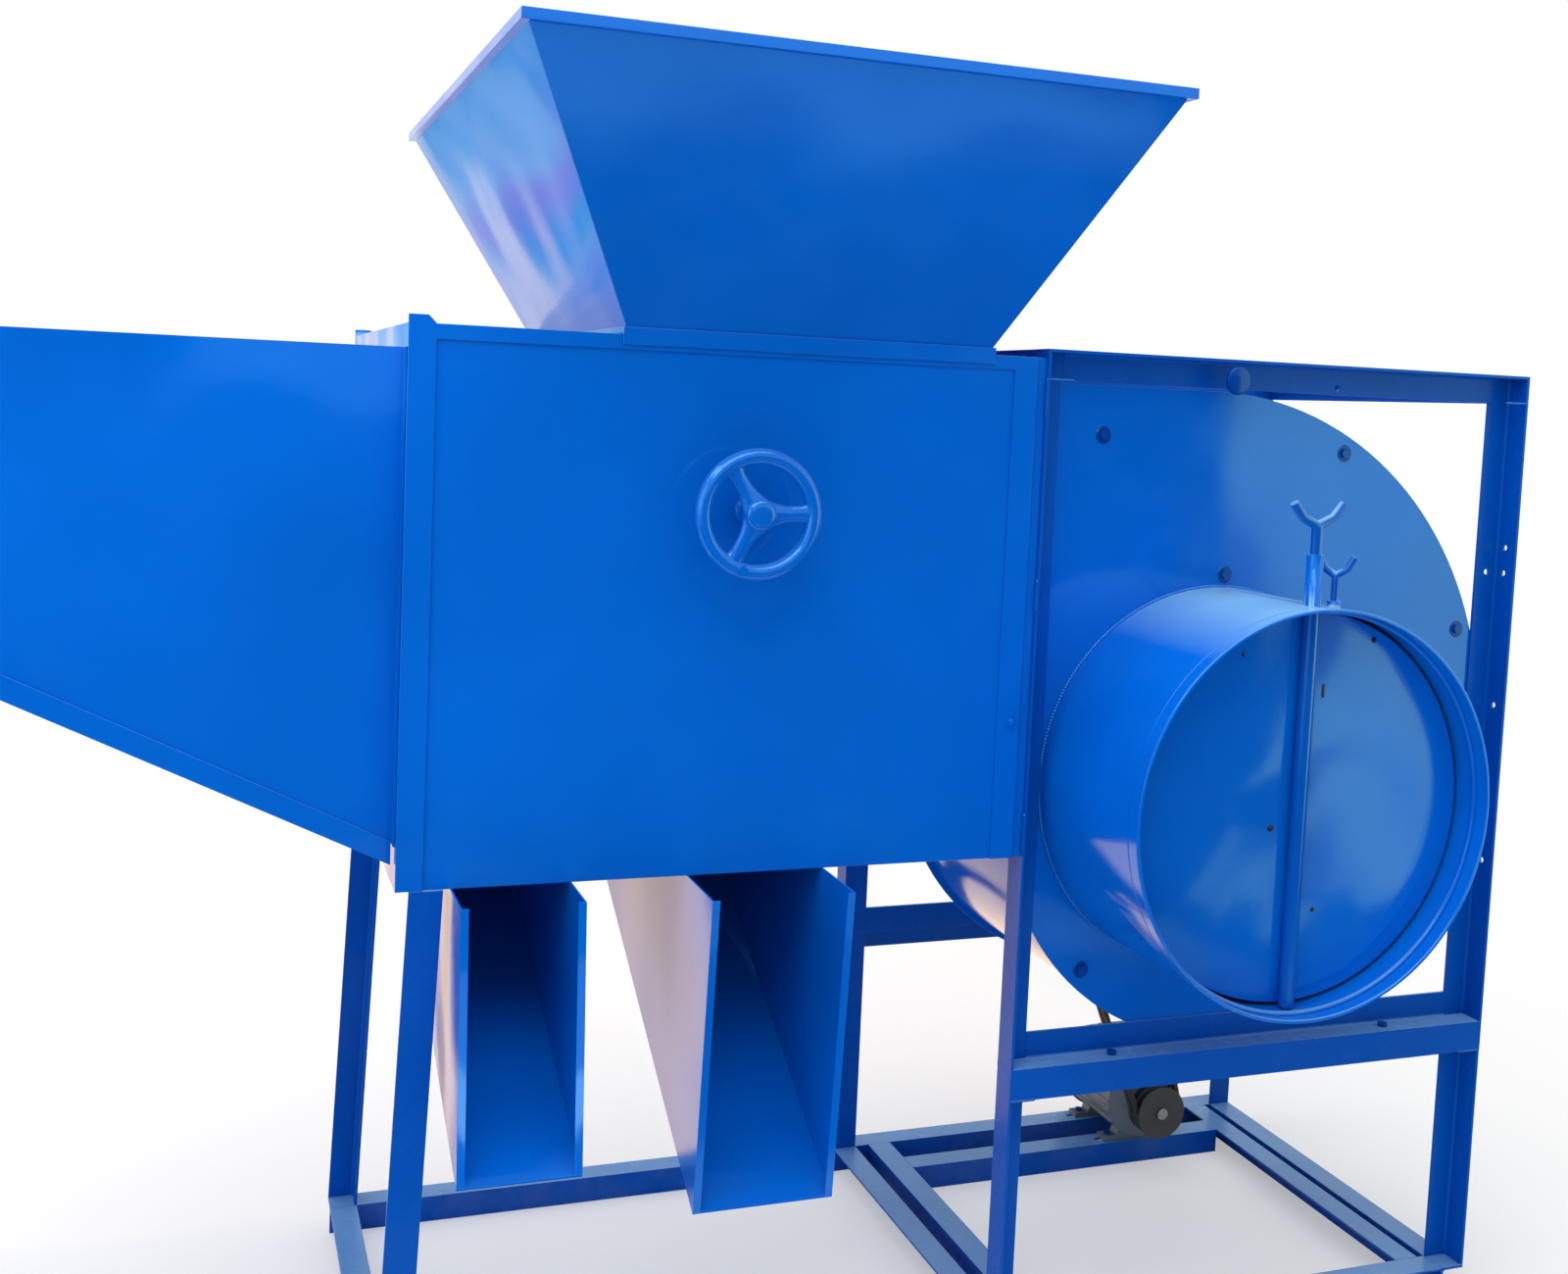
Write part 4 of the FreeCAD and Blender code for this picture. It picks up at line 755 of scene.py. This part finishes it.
def surround():
    world = bpy.data.worlds.new("studio")
    bpy.context.scene.world = world
    world.use_nodes = True
    shader = Shader(world.node_tree)
    camera, mirrored, through = (shader.node("ShaderNodeLightPath", out=ray) for ray in (
        "Is Camera Ray", "Is Glossy Ray", "Is Transmission Ray"))
    seen = camera.larger(mirrored).larger(through)
    level = shader.node("ShaderNodeMapRange", values={"Value": seen, "To Min": SURROUND_LIGHT, "To Max": 1.0},
                        out="Result")
    background = shader.own("BACKGROUND")
    shader.feed(background.inputs["Color"], (*WHITE, 1))
    shader.feed(background.inputs["Strength"], level)


def floor():
    """Pale floor that turns to plain white away from the machine."""
    form = bmesh.new()
    bmesh.ops.create_grid(form, x_segments=1, y_segments=1, size=12)
    ground = object_from(form, "floor")
    paint = Finish("floor_paint")
    pale = paint.blend(paint.noise(0.8, 2), shade(WHITE, 0.86), shade(WHITE, 0.9))
    paint.apply(Base_Color=pale, Roughness=0.6)
    reach = paint.node("ShaderNodeVectorMath", {"operation": "LENGTH"}, {0: paint.place}, out="Value")
    far = paint.ramp(reach * 0.1, (0.15, 0.4), (0.34, 1.0))
    share = paint.node("ShaderNodeLightPath", out="Is Camera Ray") * far
    painted = Wire(paint, paint.surface.outputs[0])
    white = paint.glow((*WHITE, 1), 1.0)
    paint.show(paint.node("ShaderNodeMixShader", values={0: share, 1: painted, 2: white}))
    ground.data.materials.append(paint.material)


def lamp(name, at, aim, size, power):
    data = bpy.data.lights.new(name, "AREA")
    data.shape = "RECTANGLE"
    data.size, data.size_y = size
    data.energy = power
    light = bpy.data.objects.new(name, data)
    light.matrix_world = Matrix.Translation(at) @ turn_to(Vector(at) - Vector(aim))
    bpy.context.scene.collection.objects.link(light)


def card(name, at, aim, size, strength, tone=WHITE, pattern=None):
    """Panel that lights nothing and shows in reflections, plain or with a pattern."""
    form = bmesh.new()
    bmesh.ops.create_grid(form, x_segments=1, y_segments=1, size=0.5)
    bmesh.ops.scale(form, verts=form.verts, vec=(*size, 1))
    place = Matrix.Translation(at) @ turn_to(Vector(at) - Vector(aim))
    bmesh.ops.transform(form, verts=form.verts, matrix=place)
    panel = object_from(form, name)
    paint = Finish(name)
    paint.show(paint.glow(pattern(paint) if pattern else (*tone, 1), strength))
    panel.data.materials.append(paint.material)
    panel.visible_camera = False
    panel.visible_diffuse = False
    panel.visible_shadow = False
    panel.visible_transmission = False


def sky_swirls(paint):
    """Cyan and white streaks over a violet band, pale at the foot and white at the right edge."""
    drift = paint.noise(3.2, 2, 0.5, stretch=(1.6, 1, 0.4))
    level = paint.along(paint.place, "Z") + drift * 0.34 - 1.17
    streaks = paint.ramp(paint.noise(7, 2, 0.45, stretch=(2.2, 1, 0.3)), (0.38, 0.0), (0.6, 1.0))
    upper = paint.blend(streaks, (0.0, 0.42, 0.75), (0.62, 0.95, 0.95))
    swirl = paint.ramp(paint.noise(3, 2, 0.5), (0.4, 0.0), (0.6, 1.0))
    lower = paint.blend(swirl, (0.0, 0.5, 0.82), (0.5, 0.86, 0.92))
    sky = paint.blend(paint.ramp(level, (0.5, 0.0), (0.58, 1.0)), lower, upper)
    band = paint.ramp(level, (0.4, 0.0), (0.48, 1.0), (0.56, 1.0), (0.64, 0.0))
    sky = paint.blend(band, sky, (0.52, 0.36, 0.74))
    foot = paint.ramp(level, (0.12, 1.0), (0.26, 0.0))
    sky = paint.blend(foot, sky, (0.64, 0.9, 1.0))
    edge = paint.ramp(paint.along(paint.place, "X") + 2.0, (0.97, 0.0), (0.999, 1.0))
    return paint.blend(edge, sky, WHITE)


def fading_strip(paint):
    """Pale in the middle, dark towards its long edges."""
    depth = paint.along(paint.place, "Y")
    share = paint.ramp(depth + 3.0, (0.1, 0.0), (0.3, 1.0), (0.76, 1.0), (0.86, 0.0))
    return paint.blend(share, (0.0, 0.0, 0.0), (0.75, 1.0, 0.95))


surround()
floor()
lamp("sky", (-0.8, -0.4, 4.5), (0, 0.2, 1), (5.0, 4.0), 220)
lamp("left_window", (-4.2, -2.0, 2.6), (0, 0, 1.2), (3.0, 2.4), 34)

# Dark flags keep white out of the front faces, and each pale card is one bright mirror image
card("front_flag", (2.0, -7.5, 1.0), (2.0, 0, 1.0), (13.0, 3.2), 0.0)
card("floor_flag", (2.0, -4.4, 0.004), (2.0, -4.4, 1.0), (13.0, 6.6), 0.0)
card("right_card", (5.27, -3.1, 1.75), (5.27, 0, 1.75), (5.0, 3.5), 2.0, (1.1, 1.2, 0.3))
card("floor_strip", (0.95, -2.55, 0.008), (0.95, -2.55, 1.0), (2.5, 0.9), 0.8, pattern=fading_strip)
card("rear_floor", (-1.0, 2.2, 0.004), (-1.0, 2.2, 1.0), (5.0, 3.4), 1.6, (1.0, 0.72, 0.5))
card("upper_left_card", (-2.6, -3.8, 5.0), (0.2, -0.4, 1.4), (1.3, 1.3), 9.0, (0.75, 1.0, 1.0))
card("rear_screen", (-1.25, 3.95, 1.5), (-1.25, 0, 1.5), (1.6, 1.5), 1.1, pattern=sky_swirls)

bpy.context.scene.view_settings.view_transform = "Standard"
bpy.context.view_layer.update()
